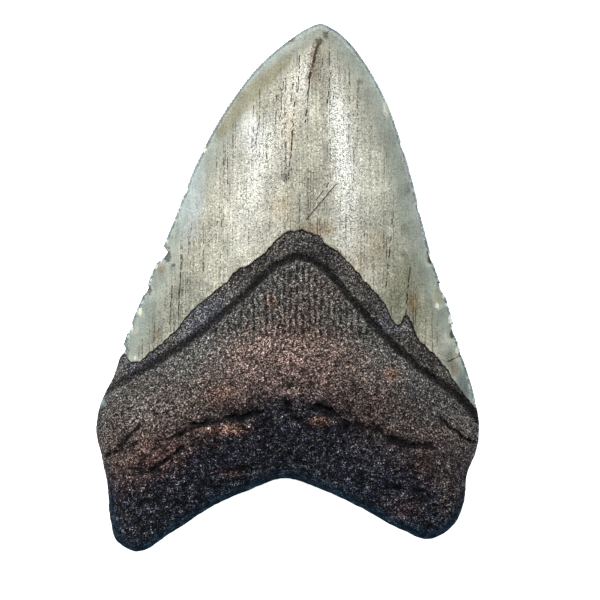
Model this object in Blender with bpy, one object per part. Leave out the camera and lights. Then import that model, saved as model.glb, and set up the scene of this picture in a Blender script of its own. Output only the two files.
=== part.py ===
"""A megalodon tooth in one piece, lying on its labial face with the lingual face up.

X runs across the tooth, Y from the root to the tip and Z up. The origin is under the middle
of the tooth's box, on the surface that it lies on. Sizes are in millimetres until the mesh is
made, in metres.

The solid is two sheets that meet along the rim of the tooth, the lingual one above and the
labial one below. Each sheet is a loft: its rows follow the tip, the lower edge of the enamel
and the base of the root, and every point of a row stands at the height that the section of
the tooth has there. Chips then draw the ends of the rows in, and a Decimate modifier thins
the flat stretches.
"""

import bpy
import numpy as np
from mathutils import Vector, noise

MM = 0.001
TINY = 1e-9
NAME = "tooth"
COLLECTION = "megalodon_tooth"

# ---- Driving dimensions, in millimetres ----

TOOTH_LENGTH = 120.0
TOOTH_WIDTH = 87.0
ENAMEL_THICKNESS = 0.5
CUTTING_EDGE_BEVEL = 0.9
ENAMEL_THINS_OVER = 4.0
CROWN_FULLNESS = 0.42  # height of the lingual ridge over half the crown's width
RIDGE_ROUNDNESS = 0.6  # 0 is a sharp ridge with flat flanks, and above 1 a round back
LABIAL_ROUNDNESS = 2.1
ROOT_ROUNDING = 11.0
ROOT_ROUNDING_AT_ARCH = 15.0
LABIAL_ROUNDING = 8.5
LOBE_TOP = 17.5
BULGE_TOP = 26.6
BULGE_CENTRE = (0.0, -24.0)
BULGE_REACH = (23.0, 31.0)
CROWN_TO_ROOT_BLEND = 24.0
LABIAL_BLEND_STARTS_ABOVE = 6.0  # the lower edge of the labial enamel
GROOVE_DEPTH = 0.8
GROOVE_HALF_WIDTH = 1.4
ARCH_REACH = 20.0
LOBE_HOLLOW = 2.3  # how far the labial face of the root stands clear between the lobes
LOBE_REST_AT = 0.74  # where a lobe rests, as a share of half the root's width
LOBE_REST_Y = -46.0
LOBE_DOME_RADIUS = 150.0
REST_DIP = 0.2  # depth cut off flat where the tooth rests
LUMPS_CLEAR_OF_SURFACE = 1.6

# The outline, clockwise from the left of the tip. Each list starts where the last one ends.
TIP = [(4.1, 58.7), (7.6, 60.0), (10.8, 58.6)]
RIGHT_EDGE = [
    (14.2, 55.7), (17.4, 51.6), (23.3, 40.7), (25.7, 34.0), (28.3, 25.3), (30.9, 14.6),
    (33.4, 5.2), (36.5, -3.5), (39.2, -13.8), (42.4, -24.0), (43.7, -32.6), (42.9, -37.7),
    (40.9, -42.8), (40.1, -49.4), (37.8, -54.3),
]
BASE = [
    (32.5, -57.4), (25.6, -55.1), (16.5, -50.2), (7.4, -46.0), (-0.6, -43.6), (-8.5, -46.2),
    (-17.6, -50.3), (-26.0, -55.7), (-34.8, -60.2),
]
LEFT_EDGE = [
    (-38.9, -57.8), (-40.3, -53.0), (-40.9, -45.5), (-42.2, -39.0), (-43.5, -32.9),
    (-42.5, -26.2), (-39.9, -20.9), (-36.9, -11.6), (-33.2, -2.4), (-29.4, 6.8),
    (-26.4, 14.0), (-20.2, 29.4), (-13.9, 40.8), (-5.3, 51.6), (-0.4, 55.7),
]

# Chips out of the cutting edges: height along the tooth, half length and depth.
LEFT_CHIPS = [
    (7.3, 1.9, 1.1), (-0.8, 1.4, 0.4), (-9.4, 1.1, 0.4), (21.8, 1.1, 0.3), (-14.6, 1.4, 0.6),
]
RIGHT_CHIPS = [
    (31.6, 1.5, 0.4), (17.4, 1.5, 0.4), (6.2, 1.3, 0.5), (-1.0, 1.6, 0.8), (-10.6, 1.9, 0.7),
    (-15.4, 1.0, 0.3),
]

CHIP_STEEPNESS = 0.5  # of a chip's lower side, over its upper
CHIP_FADE = 4.0  # how far in from the edge a chip still moves the surface
CHIP_STEPS = 3

# Where lines that cross the tooth meet its left and right edges, as heights along it.
LINGUAL_ENAMEL_ENDS = (-14.5, -28.2)
GROOVE_ENDS = (-23.8, -30.4)
LABIAL_ENAMEL_ENDS = (-31.6, -33.4)

# The lower edge of the enamel on the lingual face, from left to right between its ends.
LINGUAL_ENAMEL = [
    (-34.9, -17.2), (-31.3, -15.0), (-26.0, -10.8), (-22.2, -6.2), (-15.3, -0.2), (-10.8, 3.9),
    (-6.9, 6.2), (-1.7, 11.0), (2.8, 13.0), (5.8, 11.9), (10.1, 8.9), (17.4, 1.7),
    (21.7, -3.3), (25.4, -8.8), (26.8, -6.5), (30.1, -12.2), (34.9, -16.8), (38.5, -22.0),
]
GROOVE = [
    (-33.5, -19.3), (-21.0, -11.3), (-10.8, -2.9), (-1.0, 5.6), (2.8, 6.9), (5.8, 5.9),
    (13.8, -2.0), (22.8, -12.0), (31.3, -19.3), (38.6, -24.6),
]
LABIAL_ENAMEL = [
    (-38.5, -29.2), (-30.0, -23.2), (-18.0, -16.6), (-6.0, -13.4), (2.0, -13.0), (12.0, -14.6),
    (22.0, -19.0), (31.0, -24.6), (39.0, -30.4),
]

# Heights of the rim and of the labial face under its enamel, from the tip to the base.
RIM_HEIGHTS = [
    (60.0, 4.3), (45.0, 3.6), (25.0, 3.3), (5.0, 4.2), (-15.0, 6.6), (-35.0, 8.3), (-60.0, 8.4),
]
LABIAL_HEIGHTS = [
    (60.0, 4.3), (50.0, 2.1), (38.0, 0.9), (25.0, 0.35), (10.0, 0.8), (-10.0, 1.6), (-26.0, 1.9),
    (-44.0, 1.6), (-60.0, 1.6),
]

# Breaks in the lingual face of the root: half width, depth, and the points along the break.
ROOT_BREAKS = [
    (1.0, 1.3, [(2.4, -29.9), (4.2, -28.1), (6.3, -27.3), (9.7, -28.8), (12.4, -29.7)]),
    (0.9, 1.0, [(-24.5, -33.4), (-19.9, -31.1), (-14.9, -29.7), (-9.2, -29.6), (-5.4, -28.5)]),
    (0.8, 1.0, [(19.8, -31.2), (24.0, -34.3), (25.6, -35.4), (30.1, -35.9), (34.0, -35.4)]),
    (0.8, 0.9, [(33.8, -28.6), (37.0, -32.6), (40.0, -34.6), (42.4, -35.9)]),
    (0.7, 0.6, [(-24.0, -36.3), (-27.2, -39.0), (-30.8, -41.6)]),
    (0.7, 0.7, [(-33.2, -31.0), (-36.0, -33.9), (-38.0, -36.2)]),
    (0.7, 0.7, [(-33.5, -34.9), (-37.5, -36.4), (-41.0, -38.3)]),
    (0.8, 0.5, [(-21.0, -43.1), (-14.0, -41.2), (-7.4, -39.9)]),
    (0.8, 0.5, [(23.8, -44.9), (27.8, -45.7), (31.0, -46.3)]),
    (0.6, 0.5, [(-22.6, -14.2), (-26.6, -17.4), (-31.6, -20.9)]),
    (0.6, 0.5, [(17.6, -12.4), (22.2, -14.6), (26.0, -17.0), (33.6, -20.6)]),
]
# Single pits: centre, half width and depth.
ROOT_PITS = [
    ((-0.2, -26.8), 1.2, 1.4), ((13.5, -31.2), 1.3, 1.2), ((-29.8, -28.3), 0.9, 0.8),
    ((-27.4, -28.2), 0.8, 0.8), ((26.0, -35.0), 1.1, 0.9), ((-40.6, -26.4), 0.9, 0.6),
    ((23.8, -19.8), 1.1, 0.7),
]
# A ledge stands proud below the longest break: half width, height, and its points.
ROOT_LEDGE = (1.6, 0.6, [(-23.8, -35.2), (-16.5, -32.4), (-5.8, -30.9)])
# Lumps in the surfaces: height, size and the place in the noise that they are read from.
ROOT_LUMPS = [(0.45, 9.0, 3.1), (0.3, 4.0, 7.7)]
CROWN_WAVES = [(0.12, 14.0, 1.3)]
LABIAL_LUMPS = [(0.3, 8.0, 5.2), (0.15, 3.5, 9.4)]
RELIEF_FADES_OVER = 2.5  # towards the rim

# ---- Mesh fineness ----

COLUMNS = 150
CROWN_ROWS = 90
BOURLETTE_ROWS = 12
SHOULDER_ROWS = 6
ROOT_ROWS = 66
CLOSER_AT_TIP = 1.15  # a power: above 1, rows are closer together by the tip
CLOSER_AT_BASE = 0.6  # a share: at 0, rows are evenly spaced
CLOSER_AT_RIM = 0.65
SPLINE_STEPS = 12
TRIANGLES_KEPT = 9400


# ---- Curves ----

def spline(points, closed=False):
    """A smooth line through the points, with SPLINE_STEPS steps from each to the next."""
    points = np.array(points, float)
    if closed:
        ends = points[-1:], points[:2]
    else:
        ends = 2 * points[:1] - points[1:2], 2 * points[-1:] - points[-2:-1]
    around = np.vstack([ends[0], points, ends[1]])
    gaps = np.linalg.norm(np.diff(around, axis=0), axis=1)[:, None]
    slopes = np.diff(around, axis=0) / gaps
    tangents = (slopes[:-1] * gaps[1:] + slopes[1:] * gaps[:-1]) / (gaps[:-1] + gaps[1:])
    t = np.linspace(0, 1, SPLINE_STEPS, endpoint=False)[:, None]
    spans = []
    for i in range(len(tangents) - 1):
        start, end, gap = around[i + 1], around[i + 2], gaps[i + 1]
        spans.append(
            (2 * t**3 - 3 * t**2 + 1) * start
            + (t**3 - 2 * t**2 + t) * gap * tangents[i]
            + (3 * t**2 - 2 * t**3) * end
            + (t**3 - t**2) * gap * tangents[i + 1]
        )
    return np.vstack(spans if closed else spans + [points[-1:]])


def lengths(line):
    """Distance along the line at each of its points."""
    return np.append(0, np.cumsum(np.linalg.norm(np.diff(line, axis=0), axis=1)))


def along(line, shares):
    """Points at these shares of the line's length."""
    run = lengths(line)
    return np.column_stack([np.interp(shares * run[-1], run, line[:, k]) for k in (0, 1)])


def read(stations, y):
    """The height at y on a smooth line through (y, height) stations."""
    line = spline(sorted(stations))
    return np.interp(y, line[:, 0], line[:, 1])


def distance(points, line):
    """The distance from each point to a line of straight pieces."""
    nearest = np.full(len(points), np.inf)
    for start, end in zip(line[:-1], line[1:]):
        piece = end - start
        share = np.clip((points - start) @ piece / (piece @ piece), 0, 1)
        gap = np.linalg.norm(points - start - share[:, None] * piece, axis=1)
        nearest = np.minimum(nearest, gap)
    return nearest


def smooth_step(value, low, high):
    t = np.clip((value - low) / (high - low), 0, 1)
    return t * t * (3 - 2 * t)


def rounded(share):
    """A quarter of a circle: 0 at the rim, where it stands upright, and 1 from 1 on."""
    t = np.clip(share, 0, 1)
    return np.sqrt(t * (2 - t))


# ---- Outline ----

class Outline:
    """The rim of the tooth, whole and in the four stretches between its corners."""

    def __init__(self):
        loop = spline(TIP + RIGHT_EDGE + BASE + LEFT_EDGE, closed=True)
        corner = np.cumsum([0, len(TIP) - 1, len(RIGHT_EDGE) + 1, len(BASE) - 1]) * SPLINE_STEPS
        loop = np.vstack([loop, loop[:1]])
        self.tip = loop[corner[0]:corner[1] + 1]
        self.right = loop[corner[1]:corner[2] + 1]
        self.base = loop[corner[2]:corner[3] + 1][::-1]
        self.left = loop[corner[3]:][::-1]
        self.loop = loop
        top = np.argmax(self.tip[:, 1])
        self.left_half = np.vstack([self.tip[:top + 1][::-1], self.left[1:]])
        self.right_half = np.vstack([self.tip[top:], self.right[1:]])

    def section(self, y):
        """The middle and half the width of the tooth at these heights."""
        left, right = (
            np.interp(y, half[::-1, 1], half[::-1, 0])
            for half in (self.left_half, self.right_half)
        )
        return (left + right) / 2, np.maximum((right - left) / 2, CUTTING_EDGE_BEVEL)

    def root_edge(self, points):
        """The distance to the root's sides and base, smoothed where the two are as near."""
        side = np.minimum(distance(points, self.left), distance(points, self.right))
        base = distance(points, self.base)
        return side * base / np.sqrt(side**2 + base**2 + TINY)


# ---- Worn cutting edges ----

def bites(y, chips):
    """How deep the chips cut into the edge at these heights, as scallops steeper below."""
    depths = np.zeros(len(y))
    for height, half_length, depth in chips:
        across = (y - height) / half_length
        depths += depth * np.clip(1 - across**2, 0, None) * (1 + CHIP_STEEPNESS * across)
    return depths


def edge_shifts(grid):
    """How far the chips move both ends of each row of the grid, along the row."""
    shifts = []
    ends = (grid[:, 0], grid[:, 1], LEFT_CHIPS), (grid[:, -1], grid[:, -2], RIGHT_CHIPS)
    for edge, beside, chips in ends:
        inward = beside - edge
        inward /= np.linalg.norm(inward, axis=1)[:, None]
        shift = np.zeros(len(edge))
        for _ in range(CHIP_STEPS):
            shift = bites(edge[:, 1] + shift * inward[:, 1], chips) / np.abs(inward[:, 0])
        shifts.append(inward * shift[:, None])
    return shifts


def worn_edges(grid, shifts):
    """The grid's points moved in with the ends of their rows, less the further they are."""
    moved = grid.copy()
    for edge, shift in zip((grid[:, 0], grid[:, -1]), shifts):
        away = np.linalg.norm(grid - edge[:, None], axis=2)[:, :, None]
        moved += shift[:, None] * np.exp(-away / CHIP_FADE)
    return moved.reshape(-1, 2)


# ---- Heights of the two sheets ----

def lumps(points, sizes):
    """Smooth noise of one or more sizes."""
    total = np.zeros(len(points))
    for height, size, place in sizes:
        read_at = [Vector((x, y, place)) for x, y in points / size]
        total += height * np.array([noise.noise(at) for at in read_at])
    return total


def cut(points, line, half_width, depth):
    """Depth of a V-shaped cut along a line."""
    return depth * np.clip(1 - distance(points, line) / half_width, 0, 1)


def root_relief(points):
    """Breaks, pits and a ledge on the lingual face of the root."""
    relief = np.zeros(len(points))
    for half_width, depth, line in ROOT_BREAKS:
        relief -= cut(points, spline(line), half_width, depth)
    for centre, half_width, depth in ROOT_PITS:
        gap = np.linalg.norm(points - centre, axis=1)
        relief -= depth * smooth_step(gap, half_width, 0)
    half_width, height, line = ROOT_LEDGE
    relief += height * smooth_step(distance(points, spline(line)), half_width, 0)
    return relief


def drop_below(line, points):
    """How far each point is below a line that crosses the tooth, measured along Y."""
    return np.interp(points[:, 0], line[:, 0], line[:, 1]) - points[:, 1]


def lingual_height(points, outline, enamel_line, groove_line):
    """The upper sheet without its enamel: a ridged crown that swells into the root."""
    x, y = points.T
    middle, half_width = outline.section(y)
    share = (x - middle) / half_width
    rim = read(RIM_HEIGHTS, y)
    edge = distance(points, outline.loop)
    inside = np.clip(edge / RELIEF_FADES_OVER, 0, 1)

    peak = np.sqrt(1 + RIDGE_ROUNDNESS**2) - RIDGE_ROUNDNESS
    ridge = 1 - (np.sqrt(share**2 + RIDGE_ROUNDNESS**2) - RIDGE_ROUNDNESS) / peak
    crown = CROWN_FULLNESS * half_width * np.clip(ridge, 0, 1)
    crown *= np.clip(edge / CUTTING_EDGE_BEVEL, 0, 1)
    crown += lumps(points, CROWN_WAVES) * inside

    away = (points - BULGE_CENTRE) / BULGE_REACH
    top = LOBE_TOP + (BULGE_TOP - LOBE_TOP) * np.exp(-(away**2).sum(axis=1))
    at_arch = np.exp(-((x / ARCH_REACH) ** 2))
    rounding = ROOT_ROUNDING + (ROOT_ROUNDING_AT_ARCH - ROOT_ROUNDING) * at_arch
    root = (top - rim) * rounded(outline.root_edge(points) / rounding)
    root += lumps(points, ROOT_LUMPS) * inside

    blend = smooth_step(drop_below(enamel_line, points), 0, CROWN_TO_ROOT_BLEND)
    body = crown * (1 - blend) + root * blend
    body -= cut(points, groove_line, GROOVE_HALF_WIDTH, GROOVE_DEPTH) * inside
    return rim + body + root_relief(points) * inside


def labial_height(points, outline, enamel_line):
    """The lower sheet without its enamel: nearly flat, and rounded up at the root's rim."""
    x, y = points.T
    middle, half_width = outline.section(y)
    share = np.abs((x - middle) / half_width)
    rim = read(RIM_HEIGHTS, y)
    edge = distance(points, outline.loop)

    centre = read(LABIAL_HEIGHTS, y)
    crown = centre + (rim - centre) * np.clip(share, 0, 1) ** LABIAL_ROUNDNESS
    crown = rim + (crown - rim) * np.clip(edge / CUTTING_EDGE_BEVEL, 0, 1)

    hollow = LOBE_HOLLOW * np.clip(1 - (share / LOBE_REST_AT) ** 2, 0, None) ** 2
    beyond = np.clip(share - LOBE_REST_AT, 0, None) * half_width
    dome = (beyond**2 + (y - LOBE_REST_Y) ** 2) / (2 * LOBE_DOME_RADIUS)
    floor = hollow + dome - REST_DIP
    root = floor + (rim - floor) * (1 - rounded(outline.root_edge(points) / LABIAL_ROUNDING))

    drop = drop_below(enamel_line, points)
    blend = smooth_step(drop, -LABIAL_BLEND_STARTS_ABOVE, CROWN_TO_ROOT_BLEND - LABIAL_BLEND_STARTS_ABOVE)
    body = crown * (1 - blend) + root * blend
    clear = np.clip(body / LUMPS_CLEAR_OF_SURFACE, 0, 1)
    inside = np.clip(edge / RELIEF_FADES_OVER, 0, 1)
    return body + lumps(points, LABIAL_LUMPS) * blend * clear * inside


# ---- Sheets ----

def stretch_rows(left, right, heights, ends, rows, shares):
    """Rim points for a stretch of rows, between two pairs of heights on the edges."""
    out = []
    for edge, start, end in zip((left, right), heights, ends):
        run = lengths(edge) / lengths(edge)[-1]
        at = [np.interp(-h, -edge[:, 1], run) for h in (start, end)]
        out.append(along(edge, at[0] + (at[1] - at[0]) * shares(np.linspace(0, 1, rows + 1))))
    return out


def fill(top, bottom, left, right, across):
    """A grid of points between four lines that meet at their ends."""
    down = sum(lengths(side) / lengths(side)[-1] for side in (left, right)) / 2
    u, v = across[None, :, None], down[:, None, None]
    ruled = (1 - v) * top + v * bottom + (1 - u) * left[:, None] + u * right[:, None]
    corners = (1 - v) * ((1 - u) * top[0] + u * top[-1]) + v * ((1 - u) * bottom[0] + u * bottom[-1])
    return ruled - corners


def crossing(points, left_end, right_end, across):
    """A line across the tooth through the points, from rim to rim."""
    return along(spline(np.vstack([left_end, points, right_end])), across)


def evenly(t):
    return t


def closer_at_tip(t):
    return t**CLOSER_AT_TIP


def closer_at_base(t):
    return (1 - CLOSER_AT_BASE) * t + CLOSER_AT_BASE * np.sin(t * np.pi / 2)


def closer_at_rim(t):
    return (1 - CLOSER_AT_RIM) * t + CLOSER_AT_RIM * (1 - np.cos(t * np.pi)) / 2


def sheets(outline):
    """The two sheets' points across the tooth, and the lines and rows that they follow."""
    across = closer_at_rim(np.linspace(0, 1, COLUMNS + 1))

    step = ENAMEL_THICKNESS
    heights = [
        (outline.left[0, 1], outline.right[0, 1]),
        LINGUAL_ENAMEL_ENDS,
        tuple(h - step for h in LINGUAL_ENAMEL_ENDS),
        GROOVE_ENDS,
        LABIAL_ENAMEL_ENDS,
        tuple(h - step for h in LABIAL_ENAMEL_ENDS),
        (outline.left[-1, 1], outline.right[-1, 1]),
    ]
    rows = [CROWN_ROWS, 1, BOURLETTE_ROWS, SHOULDER_ROWS, 1, ROOT_ROWS]
    spacing = [closer_at_tip] + [evenly] * 4 + [closer_at_base]
    left, right = [outline.left[:1]], [outline.right[:1]]
    for start, end, count, shares in zip(heights, heights[1:], rows, spacing):
        stretch = stretch_rows(outline.left, outline.right, start, end, count, shares)
        left.append(stretch[0][1:])
        right.append(stretch[1][1:])
    left, right = np.vstack(left), np.vstack(right)
    mark = np.cumsum([0] + rows)

    tip = along(outline.tip, across)
    base = along(outline.base, across)
    lower = np.array([0, -step])

    def line(points, row):
        return crossing(points, left[row], right[row], across)

    enamel = line(LINGUAL_ENAMEL, mark[1])
    under = line(np.array(LINGUAL_ENAMEL) + lower, mark[2])
    groove = line(GROOVE, mark[3])
    labial = line(LABIAL_ENAMEL, mark[4])
    labial_under = line(np.array(LABIAL_ENAMEL) + lower, mark[5])

    def loft(crossings):
        parts = []
        for (row, top), (end, bottom) in zip(crossings, crossings[1:]):
            part = fill(top, bottom, left[row:end + 1], right[row:end + 1], across)
            parts.append(part if row == 0 else part[1:])
        return np.vstack(parts)

    upper = loft([(0, tip), (mark[1], enamel), (mark[2], under), (mark[3], groove), (mark[6], base)])
    below = loft([(0, tip), (mark[4], labial), (mark[5], labial_under), (mark[6], base)])
    return upper, below, enamel, groove, labial, mark


def enamel_coat(points, outline, last_row, columns):
    """Thickness of the enamel on a sheet: full down to its lower edge, thin at the rim."""
    coat = np.zeros((len(points) // columns, columns))
    coat[:last_row + 1] = ENAMEL_THICKNESS
    edge = distance(points, outline.loop)
    return coat.ravel() * np.clip(edge / ENAMEL_THINS_OVER, 0, 1)


def to_size(vertices):
    """The points with their box centred on the origin, at the driving length and width."""
    low, high = vertices.min(axis=0)[:2], vertices.max(axis=0)[:2]
    scale = np.array([TOOTH_WIDTH, TOOTH_LENGTH]) / (high - low)
    return np.column_stack([(vertices[:, :2] - (low + high) / 2) * scale, vertices[:, 2]])


def tooth_mesh():
    outline = Outline()
    upper, below, enamel, groove, labial, mark = sheets(outline)
    rows, columns = upper.shape[:2]
    shifts = edge_shifts(upper)

    points = upper.reshape(-1, 2)
    z = lingual_height(points, outline, enamel, groove)
    z += enamel_coat(points, outline, mark[1], columns)
    lingual = np.column_stack([worn_edges(upper, shifts), z])

    points = below.reshape(-1, 2)
    z = labial_height(points, outline, labial)
    z -= enamel_coat(points, outline, mark[4], columns)
    labial_sheet = np.column_stack([worn_edges(below, shifts), np.maximum(z, 0)])

    ids = np.arange(rows * columns).reshape(rows, columns)
    lower_ids = ids.copy()
    inner = np.arange((rows - 2) * (columns - 2)).reshape(rows - 2, columns - 2)
    lower_ids[1:-1, 1:-1] = rows * columns + inner
    vertices = to_size(np.vstack([lingual, labial_sheet[ids[1:-1, 1:-1].ravel()]]))

    quads = []
    for sheet, turn in ((ids, False), (lower_ids, True)):
        corners = [sheet[:-1, :-1], sheet[1:, :-1], sheet[1:, 1:], sheet[:-1, 1:]]
        if turn:
            corners.reverse()
        quads.append(np.stack(corners, axis=-1).reshape(-1, 4))

    mesh = bpy.data.meshes.new(NAME)
    mesh.from_pydata((vertices * MM).tolist(), [], np.vstack(quads).tolist())
    mesh.validate()
    mesh.update()
    return mesh


# ---- Object ----

def tooth_material():
    """Grey-green enamel over most of what shows, as one plain finish for the solid."""
    material = bpy.data.materials.new("fossil_tooth")
    material.use_nodes = True
    shader = material.node_tree.nodes["Principled BSDF"]
    shader.inputs["Base Color"].default_value = (0.42, 0.42, 0.36, 1)
    shader.inputs["Roughness"].default_value = 0.45
    shader.inputs["Metallic"].default_value = 0.0
    return material


def main():
    for old in list(bpy.data.objects):
        bpy.data.objects.remove(old)
    collection = bpy.data.collections.new(COLLECTION)
    bpy.context.scene.collection.children.link(collection)

    tooth = bpy.data.objects.new(NAME, tooth_mesh())
    tooth.data.materials.append(tooth_material())
    tooth.data.shade_smooth()
    collection.objects.link(tooth)
    thin = tooth.modifiers.new("thin", "DECIMATE")
    thin.ratio = TRIANGLES_KEPT / (2 * len(tooth.data.polygons))
    thin.use_collapse_triangulate = True


main()
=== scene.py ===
"""The looks of a megalodon tooth that lies on its labial face: worn grey enamel with serrated
edges, a dark bourlette, and a rough brown and black root.

The surface follows the same lists and functions as the part's source, on a finer mesh, with
serrations, a crumbled lower edge to the enamel, ribs and grain added. Shapes are in
millimetres, and the finished mesh is stretched to the frame's box, which is in metres.
"""

import math

import bpy
import numpy as np
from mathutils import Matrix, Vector, kdtree, noise


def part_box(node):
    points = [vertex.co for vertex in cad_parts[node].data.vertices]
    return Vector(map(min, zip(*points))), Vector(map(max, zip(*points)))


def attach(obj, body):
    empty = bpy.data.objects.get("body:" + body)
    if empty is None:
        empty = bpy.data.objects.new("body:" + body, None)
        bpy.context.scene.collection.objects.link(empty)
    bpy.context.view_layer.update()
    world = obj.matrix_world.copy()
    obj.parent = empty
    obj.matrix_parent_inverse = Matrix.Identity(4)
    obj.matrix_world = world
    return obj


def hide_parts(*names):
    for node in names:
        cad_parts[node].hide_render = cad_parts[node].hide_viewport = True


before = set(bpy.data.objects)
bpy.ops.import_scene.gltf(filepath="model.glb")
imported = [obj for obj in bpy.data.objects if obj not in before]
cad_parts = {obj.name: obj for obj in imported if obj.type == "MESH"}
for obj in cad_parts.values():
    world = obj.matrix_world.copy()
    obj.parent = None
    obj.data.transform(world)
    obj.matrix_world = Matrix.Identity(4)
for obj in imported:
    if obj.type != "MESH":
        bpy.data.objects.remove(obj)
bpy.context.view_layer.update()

MM = 0.001
TINY = 1e-9

# ---- Driving dimensions, in millimetres, as in the part ----

ENAMEL_THICKNESS = 0.5
CUTTING_EDGE_BEVEL = 0.9
ENAMEL_THINS_OVER = 4.0
CROWN_FULLNESS = 0.42  # height of the lingual ridge over half the crown's width
RIDGE_ROUNDNESS = 0.6  # 0 is a sharp ridge with flat flanks, and above 1 a round back
LABIAL_ROUNDNESS = 2.1
ROOT_ROUNDING = 11.0
ROOT_ROUNDING_AT_ARCH = 15.0
LABIAL_ROUNDING = 8.5
LOBE_TOP = 17.5
BULGE_TOP = 26.6
BULGE_CENTRE = (0.0, -24.0)
BULGE_REACH = (23.0, 31.0)
CROWN_TO_ROOT_BLEND = 24.0
LABIAL_BLEND_STARTS_ABOVE = 6.0  # the lower edge of the labial enamel
GROOVE_DEPTH = 0.8
GROOVE_HALF_WIDTH = 1.4
ARCH_REACH = 20.0
LOBE_HOLLOW = 2.3  # how far the labial face of the root stands clear between the lobes
LOBE_REST_AT = 0.74  # where a lobe rests, as a share of half the root's width
LOBE_REST_Y = -46.0
LOBE_DOME_RADIUS = 150.0
REST_DIP = 0.2  # depth cut off flat where the tooth rests
LUMPS_CLEAR_OF_SURFACE = 1.6

# The outline, clockwise from the left of the tip. Each list starts where the last one ends.
TIP = [(4.1, 58.7), (7.6, 60.0), (10.8, 58.6)]
RIGHT_EDGE = [
    (14.2, 55.7), (17.4, 51.6), (23.3, 40.7), (25.7, 34.0), (28.3, 25.3), (30.9, 14.6),
    (33.4, 5.2), (36.5, -3.5), (39.2, -13.8), (42.4, -24.0), (43.7, -32.6), (42.9, -37.7),
    (40.9, -42.8), (40.1, -49.4), (37.8, -54.3),
]
BASE = [
    (32.5, -57.4), (25.6, -55.1), (16.5, -50.2), (7.4, -46.0), (-0.6, -43.6), (-8.5, -46.2),
    (-17.6, -50.3), (-26.0, -55.7), (-34.8, -60.2),
]
LEFT_EDGE = [
    (-38.9, -57.8), (-40.3, -53.0), (-40.9, -45.5), (-42.2, -39.0), (-43.5, -32.9),
    (-42.5, -26.2), (-39.9, -20.9), (-36.9, -11.6), (-33.2, -2.4), (-29.4, 6.8),
    (-26.4, 14.0), (-20.2, 29.4), (-13.9, 40.8), (-5.3, 51.6), (-0.4, 55.7),
]

# Chips out of the cutting edges: height along the tooth, half length and depth.
LEFT_CHIPS = [
    (7.3, 1.9, 1.1), (-0.8, 1.4, 0.4), (-9.4, 1.1, 0.4), (21.8, 1.1, 0.3), (-14.6, 1.4, 0.6),
]
RIGHT_CHIPS = [
    (31.6, 1.5, 0.4), (17.4, 1.5, 0.4), (6.2, 1.3, 0.5), (-1.0, 1.6, 0.8), (-10.6, 1.9, 0.7),
    (-15.4, 1.0, 0.3),
]

CHIP_STEEPNESS = 0.5  # of a chip's lower side, over its upper
CHIP_FADE = 1.9  # how far in from the edge a chip still moves the surface
CHIP_STEPS = 3

# Where lines that cross the tooth meet its left and right edges, as heights along it.
LINGUAL_ENAMEL_ENDS = (-14.5, -28.2)
GROOVE_ENDS = (-23.8, -30.4)
LABIAL_ENAMEL_ENDS = (-31.6, -33.4)

# The lower edge of the enamel on the lingual face, from left to right between its ends.
LINGUAL_ENAMEL = [
    (-34.9, -17.2), (-31.3, -15.0), (-26.0, -10.8), (-22.2, -6.2), (-15.3, -0.2), (-10.8, 3.9),
    (-6.9, 6.2), (-1.7, 11.0), (2.8, 13.0), (5.8, 11.9), (10.1, 8.9), (17.4, 1.7),
    (21.7, -3.3), (25.4, -8.8), (26.8, -6.5), (30.1, -12.2), (34.9, -16.8), (38.5, -22.0),
]
GROOVE = [
    (-33.5, -19.3), (-21.0, -11.3), (-10.8, -2.9), (-1.0, 5.6), (2.8, 6.9), (5.8, 5.9),
    (13.8, -2.0), (22.8, -12.0), (31.3, -19.3), (38.6, -24.6),
]
LABIAL_ENAMEL = [
    (-38.5, -29.2), (-30.0, -23.2), (-18.0, -16.6), (-6.0, -13.4), (2.0, -13.0), (12.0, -14.6),
    (22.0, -19.0), (31.0, -24.6), (39.0, -30.4),
]

# Heights of the rim and of the labial face under its enamel, from the tip to the base.
RIM_HEIGHTS = [
    (60.0, 4.3), (45.0, 3.6), (25.0, 3.3), (5.0, 4.2), (-15.0, 6.6), (-35.0, 8.3), (-60.0, 8.4),
]
LABIAL_HEIGHTS = [
    (60.0, 4.3), (50.0, 2.1), (38.0, 0.9), (25.0, 0.35), (10.0, 0.8), (-10.0, 1.6), (-26.0, 1.9),
    (-44.0, 1.6), (-60.0, 1.6),
]

# Breaks in the lingual face of the root: half width, depth, and the points along the break.
ROOT_BREAKS = [
    (1.0, 1.3, [(2.4, -29.9), (4.2, -28.1), (6.3, -27.3), (9.7, -28.8), (12.4, -29.7)]),
    (0.9, 1.0, [(-24.5, -33.4), (-19.9, -31.1), (-14.9, -29.7), (-9.2, -29.6), (-5.4, -28.5)]),
    (0.8, 1.0, [(19.8, -31.2), (24.0, -34.3), (25.6, -35.4), (30.1, -35.9), (34.0, -35.4)]),
    (0.8, 0.9, [(33.8, -28.6), (37.0, -32.6), (40.0, -34.6), (42.4, -35.9)]),
    (0.7, 0.6, [(-24.0, -36.3), (-27.2, -39.0), (-30.8, -41.6)]),
    (0.7, 0.7, [(-33.2, -31.0), (-36.0, -33.9), (-38.0, -36.2)]),
    (0.7, 0.7, [(-33.5, -34.9), (-37.5, -36.4), (-41.0, -38.3)]),
    (0.8, 0.5, [(-21.0, -43.1), (-14.0, -41.2), (-7.4, -39.9)]),
    (0.8, 0.5, [(23.8, -44.9), (27.8, -45.7), (31.0, -46.3)]),
    (0.6, 0.5, [(-22.6, -14.2), (-26.6, -17.4), (-31.6, -20.9)]),
    (0.6, 0.5, [(17.6, -12.4), (22.2, -14.6), (26.0, -17.0), (33.6, -20.6)]),
]
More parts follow.
